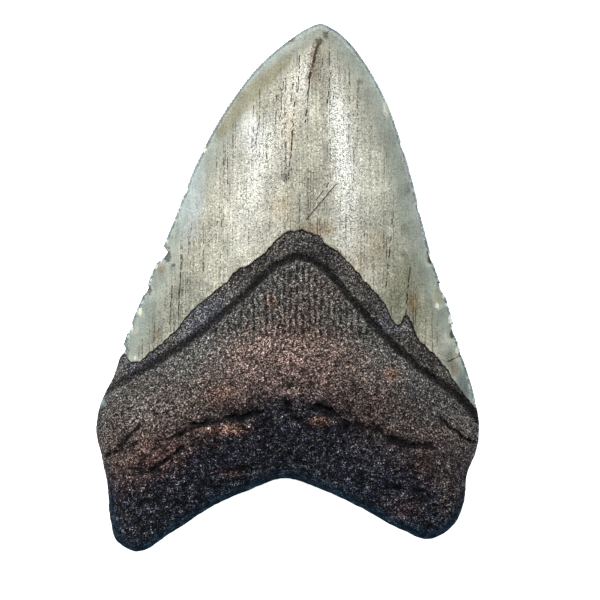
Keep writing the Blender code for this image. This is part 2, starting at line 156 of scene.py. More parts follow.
# Single pits: centre, half width and depth.
ROOT_PITS = [
    ((-0.2, -26.8), 1.2, 1.4), ((13.5, -31.2), 1.3, 1.2), ((-29.8, -28.3), 0.9, 0.8),
    ((-27.4, -28.2), 0.8, 0.8), ((26.0, -35.0), 1.1, 0.9), ((-40.6, -26.4), 0.9, 0.6),
    ((23.8, -19.8), 1.1, 0.7),
]
# A ledge stands proud below the longest break: half width, height, and its points.
ROOT_LEDGE = (1.6, 0.6, [(-23.8, -35.2), (-16.5, -32.4), (-5.8, -30.9)])
# Lumps in the surfaces: height, size and the place in the noise that they are read from.
ROOT_LUMPS = [(0.45, 9.0, 3.1), (0.3, 4.0, 7.7)]
CROWN_WAVES = [(0.12, 14.0, 1.3)]
LABIAL_LUMPS = [(0.3, 8.0, 5.2), (0.15, 3.5, 9.4)]
RELIEF_FADES_OVER = 2.5  # towards the rim

# ---- Finer relief, in millimetres ----

SERRATION_PITCH = 0.8
SERRATION_DEPTH = 0.24
SERRATIONS_START = 2.0  # along the edge from the tip
SERRATIONS_END_WITHIN = (-1.0, 3.0)  # of the end of the labial enamel
SERRATION_POINTEDNESS = 0.7
SERRATION_DRIFT = (1.6, 6.0, 3.3)
SERRATION_WEAR = (0.9, 5.0, 8.1)
SERRATION_LEFT = (0.15, 0.75, 1.0)  # by the wear: the least, usual and greatest share
SERRATION_FADE = 1.0  # how far in from the edge a serration still shows
CRUMBLE = [(0.5, 2.6, 2.2), (0.5, 1.0, 5.1)]  # of the enamel's lower edge
CRUMBLE_FADE = 1.5
ENAMEL_STEP = 0.25  # how far the enamel's lower edge slopes out

# Scars in the enamel by the cutting edges: centre, reach and depth.
EDGE_SCARS = [
    ((34.6, -2.4), (1.9, 3.2), 1.0), ((32.4, 6.2), (1.3, 1.7), 0.8), ((37.0, -10.9), (1.6, 2.2), 0.8),
    ((22.9, 40.6), (0.9, 2.4), 0.5), ((0.6, 55.9), (1.4, 1.1), 0.6), ((-27.4, 7.3), (1.6, 2.2), 0.9),
    ((-31.5, -0.8), (1.4, 1.8), 0.6), ((-18.0, 32.5), (1.0, 1.2), 0.4), ((-33.6, -6.0), (1.2, 1.8), 0.4),
    ((-35.0, -9.6), (1.3, 1.6), 0.5), ((30.4, 17.4), (0.9, 1.5), 0.4), ((38.6, -15.6), (1.1, 1.4), 0.5),
]
GRAIN = [(0.3, 2.0, 1.7), (0.2, 0.95, 4.4)]
BREAK_WANDER = [(0.9, 2.4, 6.3), (0.6, 1.0, 8.8)]
BREAK_GAPS = [(1.0, 3.2, 12.4)]  # added to the usual share of a break's depth
BREAK_SHARE = (0.3, 0.9, 1.2)  # the least, usual and greatest
GRAIN_ON_ENAMEL = 0.08  # as shares of the root's
GRAIN_ON_BOURLETTE = 0.5
GRAIN_AT_RIM = 0.4

# ---- Mesh fineness ----

COLUMNS = 230
CROWN_ROWS = 480
BOURLETTE_ROWS = 22
SHOULDER_ROWS = 12
ROOT_ROWS = 150
SPLINE_STEPS = 48
LINE_SPACING = 0.1
CLOSER_AT_TIP = 1.15  # a power: above 1, rows are closer together by the tip
CLOSER_AT_BASE = 0.6  # a share: at 0, rows are evenly spaced
CLOSER_AT_RIM = 0.65
TRIANGLES_KEPT = 192000


# ---- Curves ----

def spline(points, closed=False):
    """A smooth line through the points, with SPLINE_STEPS steps from each to the next."""
    points = np.array(points, float)
    if closed:
        ends = points[-1:], points[:2]
    else:
        ends = 2 * points[:1] - points[1:2], 2 * points[-1:] - points[-2:-1]
    around = np.vstack([ends[0], points, ends[1]])
    gaps = np.linalg.norm(np.diff(around, axis=0), axis=1)[:, None]
    slopes = np.diff(around, axis=0) / gaps
    tangents = (slopes[:-1] * gaps[1:] + slopes[1:] * gaps[:-1]) / (gaps[:-1] + gaps[1:])
    t = np.linspace(0, 1, SPLINE_STEPS, endpoint=False)[:, None]
    spans = []
    for i in range(len(tangents) - 1):
        start, end, gap = around[i + 1], around[i + 2], gaps[i + 1]
        spans.append(
            (2 * t**3 - 3 * t**2 + 1) * start
            + (t**3 - 2 * t**2 + t) * gap * tangents[i]
            + (3 * t**2 - 2 * t**3) * end
            + (t**3 - t**2) * gap * tangents[i + 1]
        )
    return np.vstack(spans if closed else spans + [points[-1:]])


def lengths(line):
    """Distance along the line at each of its points."""
    return np.append(0, np.cumsum(np.linalg.norm(np.diff(line, axis=0), axis=1)))


def along(line, shares):
    """Points at these shares of the line's length."""
    run = lengths(line)
    return np.column_stack([np.interp(shares * run[-1], run, line[:, k]) for k in (0, 1)])


def read(stations, y):
    """The height at y on a smooth line through (y, height) stations."""
    line = spline(sorted(stations))
    return np.interp(y, line[:, 0], line[:, 1])


def distance(points, line, reach=np.inf):
    """The distance from each point to a line, or reach where it is further than that."""
    count = int(lengths(line)[-1] / LINE_SPACING) + 2
    samples = along(line, np.linspace(0, 1, count))
    tree = kdtree.KDTree(count)
    for index, (x, y) in enumerate(samples):
        tree.insert((x, y, 0), index)
    tree.balance()
    low, high = samples.min(axis=0) - reach, samples.max(axis=0) + reach
    near = ((points > low) & (points < high)).all(axis=1)
    found = np.full(len(points), reach)
    found[near] = [tree.find((x, y, 0))[2] for x, y in points[near]]
    return np.minimum(found, reach)


def smooth_step(value, low, high):
    t = np.clip((value - low) / (high - low), 0, 1)
    return t * t * (3 - 2 * t)


def rounded(share):
    """A quarter of a circle: 0 at the rim, where it stands upright, and 1 from 1 on."""
    t = np.clip(share, 0, 1)
    return np.sqrt(t * (2 - t))


def lumps(points, sizes):
    """Smooth noise of one or more sizes, over points in a plane or in space."""
    total = np.zeros(len(points))
    for height, size, place in sizes:
        if points.shape[1] == 2:
            read_at = [Vector((x, y, place)) for x, y in points / size]
        else:
            read_at = [Vector((x, y, z + place)) for x, y, z in points / size]
        total += height * np.array([noise.noise(at) for at in read_at])
    return total


# ---- Outline ----

class Outline:
    """The rim of the tooth, whole and in the four stretches between its corners."""

    def __init__(self):
        loop = spline(TIP + RIGHT_EDGE + BASE + LEFT_EDGE, closed=True)
        corner = np.cumsum([0, len(TIP) - 1, len(RIGHT_EDGE) + 1, len(BASE) - 1]) * SPLINE_STEPS
        loop = np.vstack([loop, loop[:1]])
        self.tip = loop[corner[0]:corner[1] + 1]
        self.right = loop[corner[1]:corner[2] + 1]
        self.base = loop[corner[2]:corner[3] + 1][::-1]
        self.left = loop[corner[3]:][::-1]
        self.loop = loop
        top = np.argmax(self.tip[:, 1])
        self.left_half = np.vstack([self.tip[:top + 1][::-1], self.left[1:]])
        self.right_half = np.vstack([self.tip[top:], self.right[1:]])

    def section(self, y):
        """The middle and half the width of the tooth at these heights."""
        left, right = (
            np.interp(y, half[::-1, 1], half[::-1, 0])
            for half in (self.left_half, self.right_half)
        )
        return (left + right) / 2, np.maximum((right - left) / 2, CUTTING_EDGE_BEVEL)

    def root_edge(self, points):
        """The distance to the root's sides and base, smoothed where the two are as near."""
        side = np.minimum(distance(points, self.left), distance(points, self.right))
        base = distance(points, self.base)
        return side * base / np.sqrt(side**2 + base**2 + TINY)


# ---- The two sheets ----

def stretch_rows(left, right, heights, ends, rows, shares):
    """Rim points for a stretch of rows, between two pairs of heights on the edges."""
    out = []
    for edge, start, end in zip((left, right), heights, ends):
        run = lengths(edge) / lengths(edge)[-1]
        at = [np.interp(-h, -edge[:, 1], run) for h in (start, end)]
        out.append(along(edge, at[0] + (at[1] - at[0]) * shares(np.linspace(0, 1, rows + 1))))
    return out


def fill(top, bottom, left, right, across):
    """A grid of points between four lines that meet at their ends."""
    down = sum(lengths(side) / lengths(side)[-1] for side in (left, right)) / 2
    u, v = across[None, :, None], down[:, None, None]
    ruled = (1 - v) * top + v * bottom + (1 - u) * left[:, None] + u * right[:, None]
    corners = (1 - v) * ((1 - u) * top[0] + u * top[-1]) + v * ((1 - u) * bottom[0] + u * bottom[-1])
    return ruled - corners


def evenly(t):
    return t


def closer_at_tip(t):
    return t**CLOSER_AT_TIP


def closer_at_base(t):
    return (1 - CLOSER_AT_BASE) * t + CLOSER_AT_BASE * np.sin(t * np.pi / 2)


def closer_at_rim(t):
    return (1 - CLOSER_AT_RIM) * t + CLOSER_AT_RIM * (1 - np.cos(t * np.pi)) / 2


def sheets(outline):
    """The two sheets' points across the tooth, the lines they follow and the rows of those."""
    across = closer_at_rim(np.linspace(0, 1, COLUMNS + 1))
    heights = [
        (outline.left[0, 1], outline.right[0, 1]),
        LINGUAL_ENAMEL_ENDS,
        tuple(h - ENAMEL_STEP for h in LINGUAL_ENAMEL_ENDS),
        GROOVE_ENDS,
        LABIAL_ENAMEL_ENDS,
        tuple(h - ENAMEL_STEP for h in LABIAL_ENAMEL_ENDS),
        (outline.left[-1, 1], outline.right[-1, 1]),
    ]
    rows = [CROWN_ROWS, 1, BOURLETTE_ROWS, SHOULDER_ROWS, 1, ROOT_ROWS]
    spacing = [closer_at_tip] + [evenly] * 4 + [closer_at_base]
    left, right = [outline.left[:1]], [outline.right[:1]]
    for start, end, count, shares in zip(heights, heights[1:], rows, spacing):
        stretch = stretch_rows(outline.left, outline.right, start, end, count, shares)
        left.append(stretch[0][1:])
        right.append(stretch[1][1:])
    left, right = np.vstack(left), np.vstack(right)
    mark = np.cumsum([0] + rows)

    def line(points, row, lower=0.0):
        middle = np.array(points) - (0, lower)
        return along(spline(np.vstack([left[row], middle, right[row]])), across)

    def loft(crossings):
        parts = []
        for (row, top), (end, bottom) in zip(crossings, crossings[1:]):
            part = fill(top, bottom, left[row:end + 1], right[row:end + 1], across)
            parts.append(part if row == 0 else part[1:])
        return np.vstack(parts)

    tip = along(outline.tip, across)
    base = along(outline.base, across)
    enamel = line(LINGUAL_ENAMEL, mark[1])
    under = line(LINGUAL_ENAMEL, mark[2], ENAMEL_STEP)
    groove = line(GROOVE, mark[3])
    labial = line(LABIAL_ENAMEL, mark[4])
    labial_under = line(LABIAL_ENAMEL, mark[5], ENAMEL_STEP)
    upper = loft([(0, tip), (mark[1], enamel), (mark[2], under), (mark[3], groove), (mark[6], base)])
    lower = loft([(0, tip), (mark[4], labial), (mark[5], labial_under), (mark[6], base)])
    lingual_face = Sheet(upper, outline, enamel, groove, mark[1])
    return lingual_face, Sheet(lower, outline, labial, labial, mark[4])


class Sheet:
    """One face of the tooth: its points, and how far each is from the lines that it follows."""

    def __init__(self, grid, outline, enamel_line, root_line, last_enamel_row):
        self.rows, self.columns = grid.shape[:2]
        self.points = grid.reshape(-1, 2)
        self.x, self.y = self.points.T
        self.middle, self.half_width = outline.section(self.y)
        self.share = (self.x - self.middle) / self.half_width
        self.rim = read(RIM_HEIGHTS, self.y)
        self.edge = distance(self.points, outline.loop)
        self.root_edge = outline.root_edge(self.points)
        self.inside = np.clip(self.edge / RELIEF_FADES_OVER, 0, 1)
        self.enamel_drop = self.drop_below(enamel_line)
        self.below_enamel = distance(self.points, enamel_line) * np.sign(self.enamel_drop)
        root_drop = self.drop_below(root_line)
        self.below_groove = distance(self.points, root_line) * np.sign(root_drop)
        above_base = np.clip(-self.drop_below(outline.base), 0, None)
        self.down_root = np.clip(root_drop / (np.abs(root_drop) + above_base + TINY), 0, 1)
        coat = np.zeros((self.rows, self.columns))
        coat[:last_enamel_row + 1] = ENAMEL_THICKNESS
        self.coat = coat.ravel() * np.clip(self.edge / ENAMEL_THINS_OVER, 0, 1)

    def drop_below(self, line):
        """How far each point is below a line that crosses the tooth, measured along Y."""
        return np.interp(self.x, line[:, 0], line[:, 1]) - self.y

    def worn(self, shifts):
        """The points moved for the worn cutting edges and the crumbled edge of the enamel."""
        grid = self.points.reshape(self.rows, self.columns, 2)
        moved = worn_edges(grid, shifts).reshape(-1, 2)
        near = np.exp(-(self.below_enamel / CRUMBLE_FADE) ** 2) * self.inside
        moved[:, 1] += lumps(self.points * (1, 0.3), CRUMBLE) * near
        return moved


# ---- Worn cutting edges ----

def bites(y, chips):
    """How deep the chips cut into the edge at these heights, as scallops steeper below."""
    depths = np.zeros(len(y))
    for height, half_length, depth in chips:
        across = (y - height) / half_length
        depths += depth * np.clip(1 - across**2, 0, None) * (1 + CHIP_STEEPNESS * across)
    return depths


def serrations(edge, side, end_height):
    """How deep a row of small worn teeth cuts into the enamel of the edge."""
    run = lengths(edge)
    place = np.column_stack([run, np.full(len(run), side)])
    phase = run / SERRATION_PITCH + lumps(place, [SERRATION_DRIFT])
    least, usual, greatest = SERRATION_LEFT
    wear = np.clip(usual + lumps(place, [SERRATION_WEAR]), least, greatest)
    low, high = (end_height + within for within in SERRATIONS_END_WITHIN)
    fade = smooth_step(run, 0, SERRATIONS_START) * smooth_step(edge[:, 1], low, high)
    notch = np.abs(np.sin(np.pi * phase)) ** SERRATION_POINTEDNESS
    return SERRATION_DEPTH * (1 - notch) * wear * fade


def edge_shifts(grid):
    """How far the chips and the serrations move both ends of each row, along the row."""
    shifts = []
    ends = (grid[:, 0], grid[:, 1], LEFT_CHIPS), (grid[:, -1], grid[:, -2], RIGHT_CHIPS)
    for side, (edge, beside, chips) in enumerate(ends):
        inward = beside - edge
        inward /= np.linalg.norm(inward, axis=1)[:, None]
        chip = np.zeros(len(edge))
        for _ in range(CHIP_STEPS):
            chip = bites(edge[:, 1] + chip * inward[:, 1], chips) / np.abs(inward[:, 0])
        small = serrations(edge, float(side), LABIAL_ENAMEL_ENDS[side])
        shifts.append((inward * chip[:, None], inward * small[:, None]))
    return shifts


def worn_edges(grid, shifts):
    """The grid's points moved in with the ends of their rows, less the further they are."""
    moved = grid.copy()
    for edge, (chip, small) in zip((grid[:, 0], grid[:, -1]), shifts):
        away = np.linalg.norm(grid - edge[:, None], axis=2)[:, :, None]
        moved += chip[:, None] * np.exp(-away / CHIP_FADE)
        moved += small[:, None] * np.exp(-away / SERRATION_FADE)
    return moved


# ---- Heights of the two sheets ----

def cut(points, line, half_width, depth):
    """Depth of a V-shaped cut along a line."""
    return depth * np.clip(1 - distance(points, line, half_width) / half_width, 0, 1)


def root_cuts(sheet):
    """Depth of the breaks and pits on the lingual face of the root, with ragged sides."""
    wander = [lumps(sheet.points + offset, BREAK_WANDER) for offset in (0.0, 50.0)]
    ragged = sheet.points + np.column_stack(wander)
    depths = np.zeros(len(ragged))
    for half_width, depth, line in ROOT_BREAKS:
        depths = np.maximum(depths, cut(ragged, spline(line), half_width, depth))
    least, usual, greatest = BREAK_SHARE
    depths *= np.clip(usual + lumps(sheet.points, BREAK_GAPS), least, greatest)
    for centre, half_width, depth in ROOT_PITS:
        gap = np.linalg.norm(ragged - centre, axis=1)
        depths = np.maximum(depths, depth * smooth_step(gap, half_width, 0))
    return depths * sheet.inside


def edge_scars(sheet):
    """How deep each point is in a scar of the enamel by the cutting edges."""
    depths = np.zeros(len(sheet.points))
    for centre, reach, depth in EDGE_SCARS:
        away = np.linalg.norm((sheet.points - centre) / reach, axis=1)
        depths = np.maximum(depths, depth * smooth_step(away, 1, 0.35))
    return depths


def lingual_height(sheet, groove_line_depth, cuts, scars):
    """The upper sheet: a ridged crown under its enamel, which swells into the root."""
    peak = np.sqrt(1 + RIDGE_ROUNDNESS**2) - RIDGE_ROUNDNESS
    ridge = 1 - (np.sqrt(sheet.share**2 + RIDGE_ROUNDNESS**2) - RIDGE_ROUNDNESS) / peak
    crown = CROWN_FULLNESS * sheet.half_width * np.clip(ridge, 0, 1)
    crown *= np.clip(sheet.edge / CUTTING_EDGE_BEVEL, 0, 1)
    crown += lumps(sheet.points, CROWN_WAVES) * sheet.inside

    away = (sheet.points - BULGE_CENTRE) / BULGE_REACH
    top = LOBE_TOP + (BULGE_TOP - LOBE_TOP) * np.exp(-(away**2).sum(axis=1))
    at_arch = np.exp(-((sheet.x / ARCH_REACH) ** 2))
    rounding = ROOT_ROUNDING + (ROOT_ROUNDING_AT_ARCH - ROOT_ROUNDING) * at_arch
    root = (top - sheet.rim) * rounded(sheet.root_edge / rounding)
    root += lumps(sheet.points, ROOT_LUMPS) * sheet.inside

    blend = smooth_step(sheet.enamel_drop, 0, CROWN_TO_ROOT_BLEND)
    body = crown * (1 - blend) + root * blend
    body -= groove_line_depth * sheet.inside
    half_width, height, line = ROOT_LEDGE
    ledge = height * smooth_step(distance(sheet.points, spline(line), half_width), half_width, 0)
    body += (ledge - cuts) * sheet.inside
    return sheet.rim + np.maximum(body + sheet.coat - scars, 0)


def labial_height(sheet):
    """The lower sheet: nearly flat under its enamel, and rounded up at the root's rim."""
    share = np.abs(sheet.share)
    centre = read(LABIAL_HEIGHTS, sheet.y)
    crown = centre + (sheet.rim - centre) * np.clip(share, 0, 1) ** LABIAL_ROUNDNESS
    crown = sheet.rim + (crown - sheet.rim) * np.clip(sheet.edge / CUTTING_EDGE_BEVEL, 0, 1)

    hollow = LOBE_HOLLOW * np.clip(1 - (share / LOBE_REST_AT) ** 2, 0, None) ** 2
    beyond = np.clip(share - LOBE_REST_AT, 0, None) * sheet.half_width
    dome = (beyond**2 + (sheet.y - LOBE_REST_Y) ** 2) / (2 * LOBE_DOME_RADIUS)
    floor = hollow + dome - REST_DIP
    root = floor + (sheet.rim - floor) * (1 - rounded(sheet.root_edge / LABIAL_ROUNDING))

    start = -LABIAL_BLEND_STARTS_ABOVE
    blend = smooth_step(sheet.enamel_drop, start, start + CROWN_TO_ROOT_BLEND)
    body = crown * (1 - blend) + root * blend
    clear = np.clip(body / LUMPS_CLEAR_OF_SURFACE, 0, 1)
    return body + lumps(sheet.points, LABIAL_LUMPS) * blend * clear * sheet.inside - sheet.coat


# ---- Mesh ----

def shares_down(points, rows, columns):
    """How far down its column and along its row each point is, as shares of their lengths."""
    grid = points.reshape(rows, columns, 3)
    out = []
    for axis in (1, 0):
        steps = np.linalg.norm(np.diff(grid, axis=axis), axis=2)
        run = np.cumsum(steps, axis=axis)
        start = np.zeros_like(run[:, :1] if axis else run[:1])
        run = np.concatenate([start, run], axis=axis)
        whole = run[:, -1:] if axis else run[-1:]
        out.append((run / (whole + TINY)).ravel())
    return out


def tooth_mesh(name):
    """The whole surface as one closed mesh, with its masks and its map."""
    outline = Outline()
    upper, lower = sheets(outline)
    rows, columns = upper.rows, upper.columns

    groove = GROOVE_DEPTH * np.clip(1 - np.abs(upper.below_groove) / GROOVE_HALF_WIDTH, 0, 1)
    cuts, scars = root_cuts(upper), edge_scars(upper)
    shifts = edge_shifts(upper.points.reshape(rows, columns, 2))
    top = np.column_stack([upper.worn(shifts), lingual_height(upper, groove, cuts, scars)])
    bottom = np.column_stack([lower.worn(shifts), np.maximum(labial_height(lower), 0)])

    ids = np.arange(rows * columns).reshape(rows, columns)
    inner = ids[1:-1, 1:-1].ravel()
    lower_ids = ids.copy()
    lower_ids[1:-1, 1:-1] = rows * columns + np.arange(len(inner)).reshape(rows - 2, columns - 2)

    def both(on_top, on_bottom):
        return np.concatenate([on_top, on_bottom[inner]])

    quads, maps = [], []
    for sheet, points, turn, start in ((ids, top, False, 0.0), (lower_ids, bottom, True, 0.5)):
        across, down = shares_down(points, rows, columns)
        places = np.column_stack([start + across / 2, 1 - down])
        corners = [np.s_[:-1, :-1], np.s_[1:, :-1], np.s_[1:, 1:], np.s_[:-1, 1:]]
        if turn:
            corners.reverse()
        quads.append(np.stack([sheet[c] for c in corners], axis=-1).reshape(-1, 4))
        own = np.arange(rows * columns).reshape(rows, columns)
        maps.append(places[np.stack([own[c] for c in corners], axis=-1).reshape(-1)])

    mesh = bpy.data.meshes.new(name)
    mesh.from_pydata(both(top, bottom).tolist(), [], np.vstack(quads).tolist())
    mesh.uv_layers.new(name="OFBake").data.foreach_set("uv", np.vstack(maps).ravel())
    nothing = np.zeros(rows * columns)
    masks = {
        "below_enamel": both(upper.below_enamel, lower.below_enamel),
        "below_groove": both(upper.below_groove, lower.below_groove),
        "down_root": both(upper.down_root, lower.down_root),
        "from_rim": both(upper.edge, lower.edge),
        "cut": both(cuts, nothing),
        "scar": both(scars, nothing),
        "lingual": both(nothing + 1, nothing),
    }

    normals = np.empty(3 * len(mesh.vertices))
    mesh.vertices.foreach_get("normal", normals)
    vertices = both(top, bottom)
    on_root = smooth_step(masks["below_enamel"], 0, 0.6)
    on_bourlette = on_root * (1 - smooth_step(masks["below_groove"], 0, 2))
    share = GRAIN_ON_ENAMEL + (1 - GRAIN_ON_ENAMEL) * on_root
    share -= (1 - GRAIN_ON_BOURLETTE) * on_bourlette
    by_rim = GRAIN_AT_RIM + (1 - GRAIN_AT_RIM) * both(upper.inside, lower.inside)
    grain = lumps(vertices, GRAIN) * share * by_rim
    vertices += normals.reshape(-1, 3) * grain[:, None]
    vertices[:, 2] = np.maximum(vertices[:, 2], 0)
    mesh.vertices.foreach_set("co", vertices.ravel())
    for mask, values in masks.items():
        mesh.attributes.new(mask, "FLOAT", "POINT").data.foreach_set("value", values)
    mesh.update()
    return mesh


def thinned(piece, triangles):
    """The piece with its mesh brought down to about that many triangles."""
    thin = piece.modifiers.new("thin", "DECIMATE")
    thin.ratio = triangles / (2 * len(piece.data.polygons))
    thin.use_collapse_triangulate = True
    graph = bpy.context.evaluated_depsgraph_get()
    mesh = bpy.data.meshes.new_from_object(piece.evaluated_get(graph))
    piece.modifiers.clear()
    piece.data = mesh
    return piece


def fitted(mesh):
    """The mesh, in metres, stretched to the frame's box of the tooth."""
    low, high = (np.array(corner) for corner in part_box("tooth"))
    points = np.empty(3 * len(mesh.vertices))
    mesh.vertices.foreach_get("co", points)
    points = points.reshape(-1, 3)
    least = points.min(axis=0)
    points = low + (points - least) * (high - low) / (points.max(axis=0) - least)
    mesh.vertices.foreach_set("co", points.ravel())
    mesh.update()


# ---- Shader nodes ----

MIX_FACTOR, MIX_FIRST, MIX_SECOND, MIX_RESULT = 0, 6, 7, 2
SCALAR_RESULTS = ("LENGTH", "DOT_PRODUCT", "DISTANCE")
NOWHERE = (0.0, 0.0, 0.0)


def tone(red, green, blue):
    """A colour given as it looks on a screen, from 0 to 255, in the shader's own scale."""
    return tuple(((c / 255 + 0.055) / 1.055) ** 2.4 for c in (red, green, blue)) + (1.0,)


class Tree:
    """A node tree with short ways to add to it. Values are numbers, colours or outputs."""

    def __init__(self, tree):
        self.tree = tree

    def put(self, socket, value):
        if isinstance(value, bpy.types.NodeSocket):
            self.tree.links.new(value, socket)
        else:
            socket.default_value = value

    def add(self, kind, values=(), **settings):
        node = self.tree.nodes.new("ShaderNode" + kind)
        for setting, value in settings.items():
            setattr(node, setting, value)
        for key, value in dict(values).items():
            self.put(node.inputs[key], value)
        return node

    def maths(self, operation, *values):
        return self.add("Math", enumerate(values), operation=operation).outputs[0]

    def times(self, product, *others):
        for value in others:
            product = self.maths("MULTIPLY", product, value)
        return product

    def plus(self, value, scale, more):
        """The value times the scale, with more added."""
        return self.maths("MULTIPLY_ADD", value, scale, more)

    def vector(self, operation, *values, **more):
        node = self.add("VectorMath", [*enumerate(values), *more.items()], operation=operation)
        return node.outputs["Value" if operation in SCALAR_RESULTS else "Vector"]

    def span(self, value, low, high, to_low=0.0, to_high=1.0):
        """The value eased from one range to another, and held at its ends."""
        values = {"Value": value, "From Min": low, "From Max": high}
        values |= {"To Min": to_low, "To Max": to_high}
        return self.add("MapRange", values, interpolation_type="SMOOTHSTEP").outputs[0]

    def mix(self, share, first, second, blend="MIX"):
        values = {MIX_FACTOR: share, MIX_FIRST: first, MIX_SECOND: second}
        node = self.add("Mix", values, data_type="RGBA", blend_type=blend)
        return node.outputs[MIX_RESULT]

    def lay(self, colour, mask, share, over):
        """The colour with a share of another laid over it where the mask is."""
        return self.mix(self.times(mask, share), colour, over)

    def mix_values(self, share, first, second):
        values = {"Factor": share, "A": first, "B": second}
        return self.add("Mix", values, data_type="FLOAT").outputs[0]

    def noise(self, position, size, detail=2.0, roughness=0.5):
        values = {"Vector": position, "Scale": 1 / size, "Detail": detail, "Roughness": roughness}
        return self.add("TexNoise", values).outputs["Fac"]

    def centred(self, *noise):
        """Noise about 0, from about -0.5 to 0.5."""
        return self.maths("SUBTRACT", self.noise(*noise), 0.5)

    def attribute(self, name):
        return self.add("Attribute", attribute_name=name).outputs["Fac"]

    def use(self, group, **values):
        """The outputs of a node group, given these values, with _ for the spaces in names."""
        node = self.tree.nodes.new("ShaderNodeGroup")
        node.node_tree = group
        for name, value in values.items():
            self.put(node.inputs[name.replace("_", " ")], value)
        return node.outputs


def new_group(name, inputs, outputs):
    """A node group with these inputs and outputs: its tree, its inputs and its results."""
    group = bpy.data.node_groups.new(name, "ShaderNodeTree")
    for label, value in inputs.items():
        kind = "NodeSocketVector" if isinstance(value, tuple) else "NodeSocketFloat"
        group.interface.new_socket(label, in_out="INPUT", socket_type=kind).default_value = value
    for label in outputs:
        group.interface.new_socket(label, in_out="OUTPUT", socket_type="NodeSocketFloat")
    given = group.nodes.new("NodeGroupInput").outputs
    return group, Tree(group), given, group.nodes.new("NodeGroupOutput").inputs


def fibres_group():
    """Long soft streaks along the tooth, from 0 to 1."""
    inputs = {
        "Position": NOWHERE, "Side": 0.0, "Spacing": 1.0, "Length": 10.0, "Sharpness": 1.0,
    }
    group, tree, given, result = new_group("fibres", inputs, ["Value"])
    across = tree.maths("DIVIDE", 1.0, given["Spacing"])
    down = tree.maths("DIVIDE", 1.0, given["Length"])
    scale = tree.add("CombineXYZ", {"X": across, "Y": down}).outputs[0]
    stretched = tree.vector("MULTIPLY", given["Position"], scale)
    side = tree.add("CombineXYZ", {"Z": tree.times(given["Side"], 7.3)}).outputs[0]
    streaks = tree.noise(tree.vector("ADD", stretched, side), 1.0, 3.0, 0.6)
    centred = tree.maths("SUBTRACT", streaks, 0.5)
    sharpened = tree.plus(centred, given["Sharpness"], 0.5)
    tree.put(result["Value"], tree.maths("MINIMUM", tree.maths("MAXIMUM", sharpened, 0.0), 1.0))
    return group


def specks_group():
    """Small round spots scattered over a share of the surface."""
    inputs = {"Position": NOWHERE, "Size": 0.3, "Share": 0.1}
    group, tree, given, result = new_group("specks", inputs, ["Mask", "Random"])
    values = {"Vector": given["Position"], "Scale": tree.maths("DIVIDE", 1.0, given["Size"])}
    cells = tree.add("TexVoronoi", values)
    random = tree.add("SeparateColor", {"Color": cells.outputs["Color"]}).outputs["Red"]
    chosen = tree.maths("LESS_THAN", random, given["Share"])
    middle = tree.span(cells.outputs["Distance"], 0.7, 0.25)
    tree.put(result["Mask"], tree.times(chosen, middle))
    tree.put(result["Random"], random)
    return group


def hairline_group():
    """A line between two points of the face, seen along Z, and broken where Gaps is high."""
    inputs = {
        "Position": NOWHERE, "From": NOWHERE, "To": NOWHERE,
        "Width": 0.2, "Gaps": 0.0, "Breaks": 0.5,
    }
    group, tree, given, result = new_group("hairline", inputs, ["Mask"])
    whole = tree.vector("SUBTRACT", given["To"], given["From"])
    part = tree.vector("SUBTRACT", given["Position"], given["From"])
    reach = tree.vector("DOT_PRODUCT", part, whole)
    share = tree.maths("DIVIDE", reach, tree.vector("DOT_PRODUCT", whole, whole))
    share = tree.maths("MINIMUM", tree.maths("MAXIMUM", share, 0.0), 1.0)
    nearest = tree.vector("SCALE", whole, Scale=share)
    gap = tree.vector("DISTANCE", part, nearest)
    line = tree.span(gap, given["Width"], tree.times(given["Width"], 0.4))
    whole_below = tree.maths("SUBTRACT", given["Breaks"], 0.06)
    pieces = tree.span(given["Gaps"], given["Breaks"], whole_below)
    tree.put(result["Mask"], tree.times(line, pieces))
    return group


def patch_group():
    """A soft blotch about a place on the face, seen along Z. Ragged moves its edge."""
    inputs = {
        "Position": NOWHERE, "Centre": NOWHERE, "Reach": (1.0, 1.0, 1.0),
        "Ragged": 0.0, "Softness": 0.8,
    }
    group, tree, given, result = new_group("patch", inputs, ["Mask"])
    away = tree.vector("SUBTRACT", given["Position"], given["Centre"])
    away = tree.vector("DIVIDE", away, given["Reach"])
    gap = tree.maths("ADD", tree.vector("LENGTH", away), given["Ragged"])
    tree.put(result["Mask"], tree.span(gap, 1.0, tree.maths("SUBTRACT", 1.0, given["Softness"])))
    return group


# ---- Finishes ----

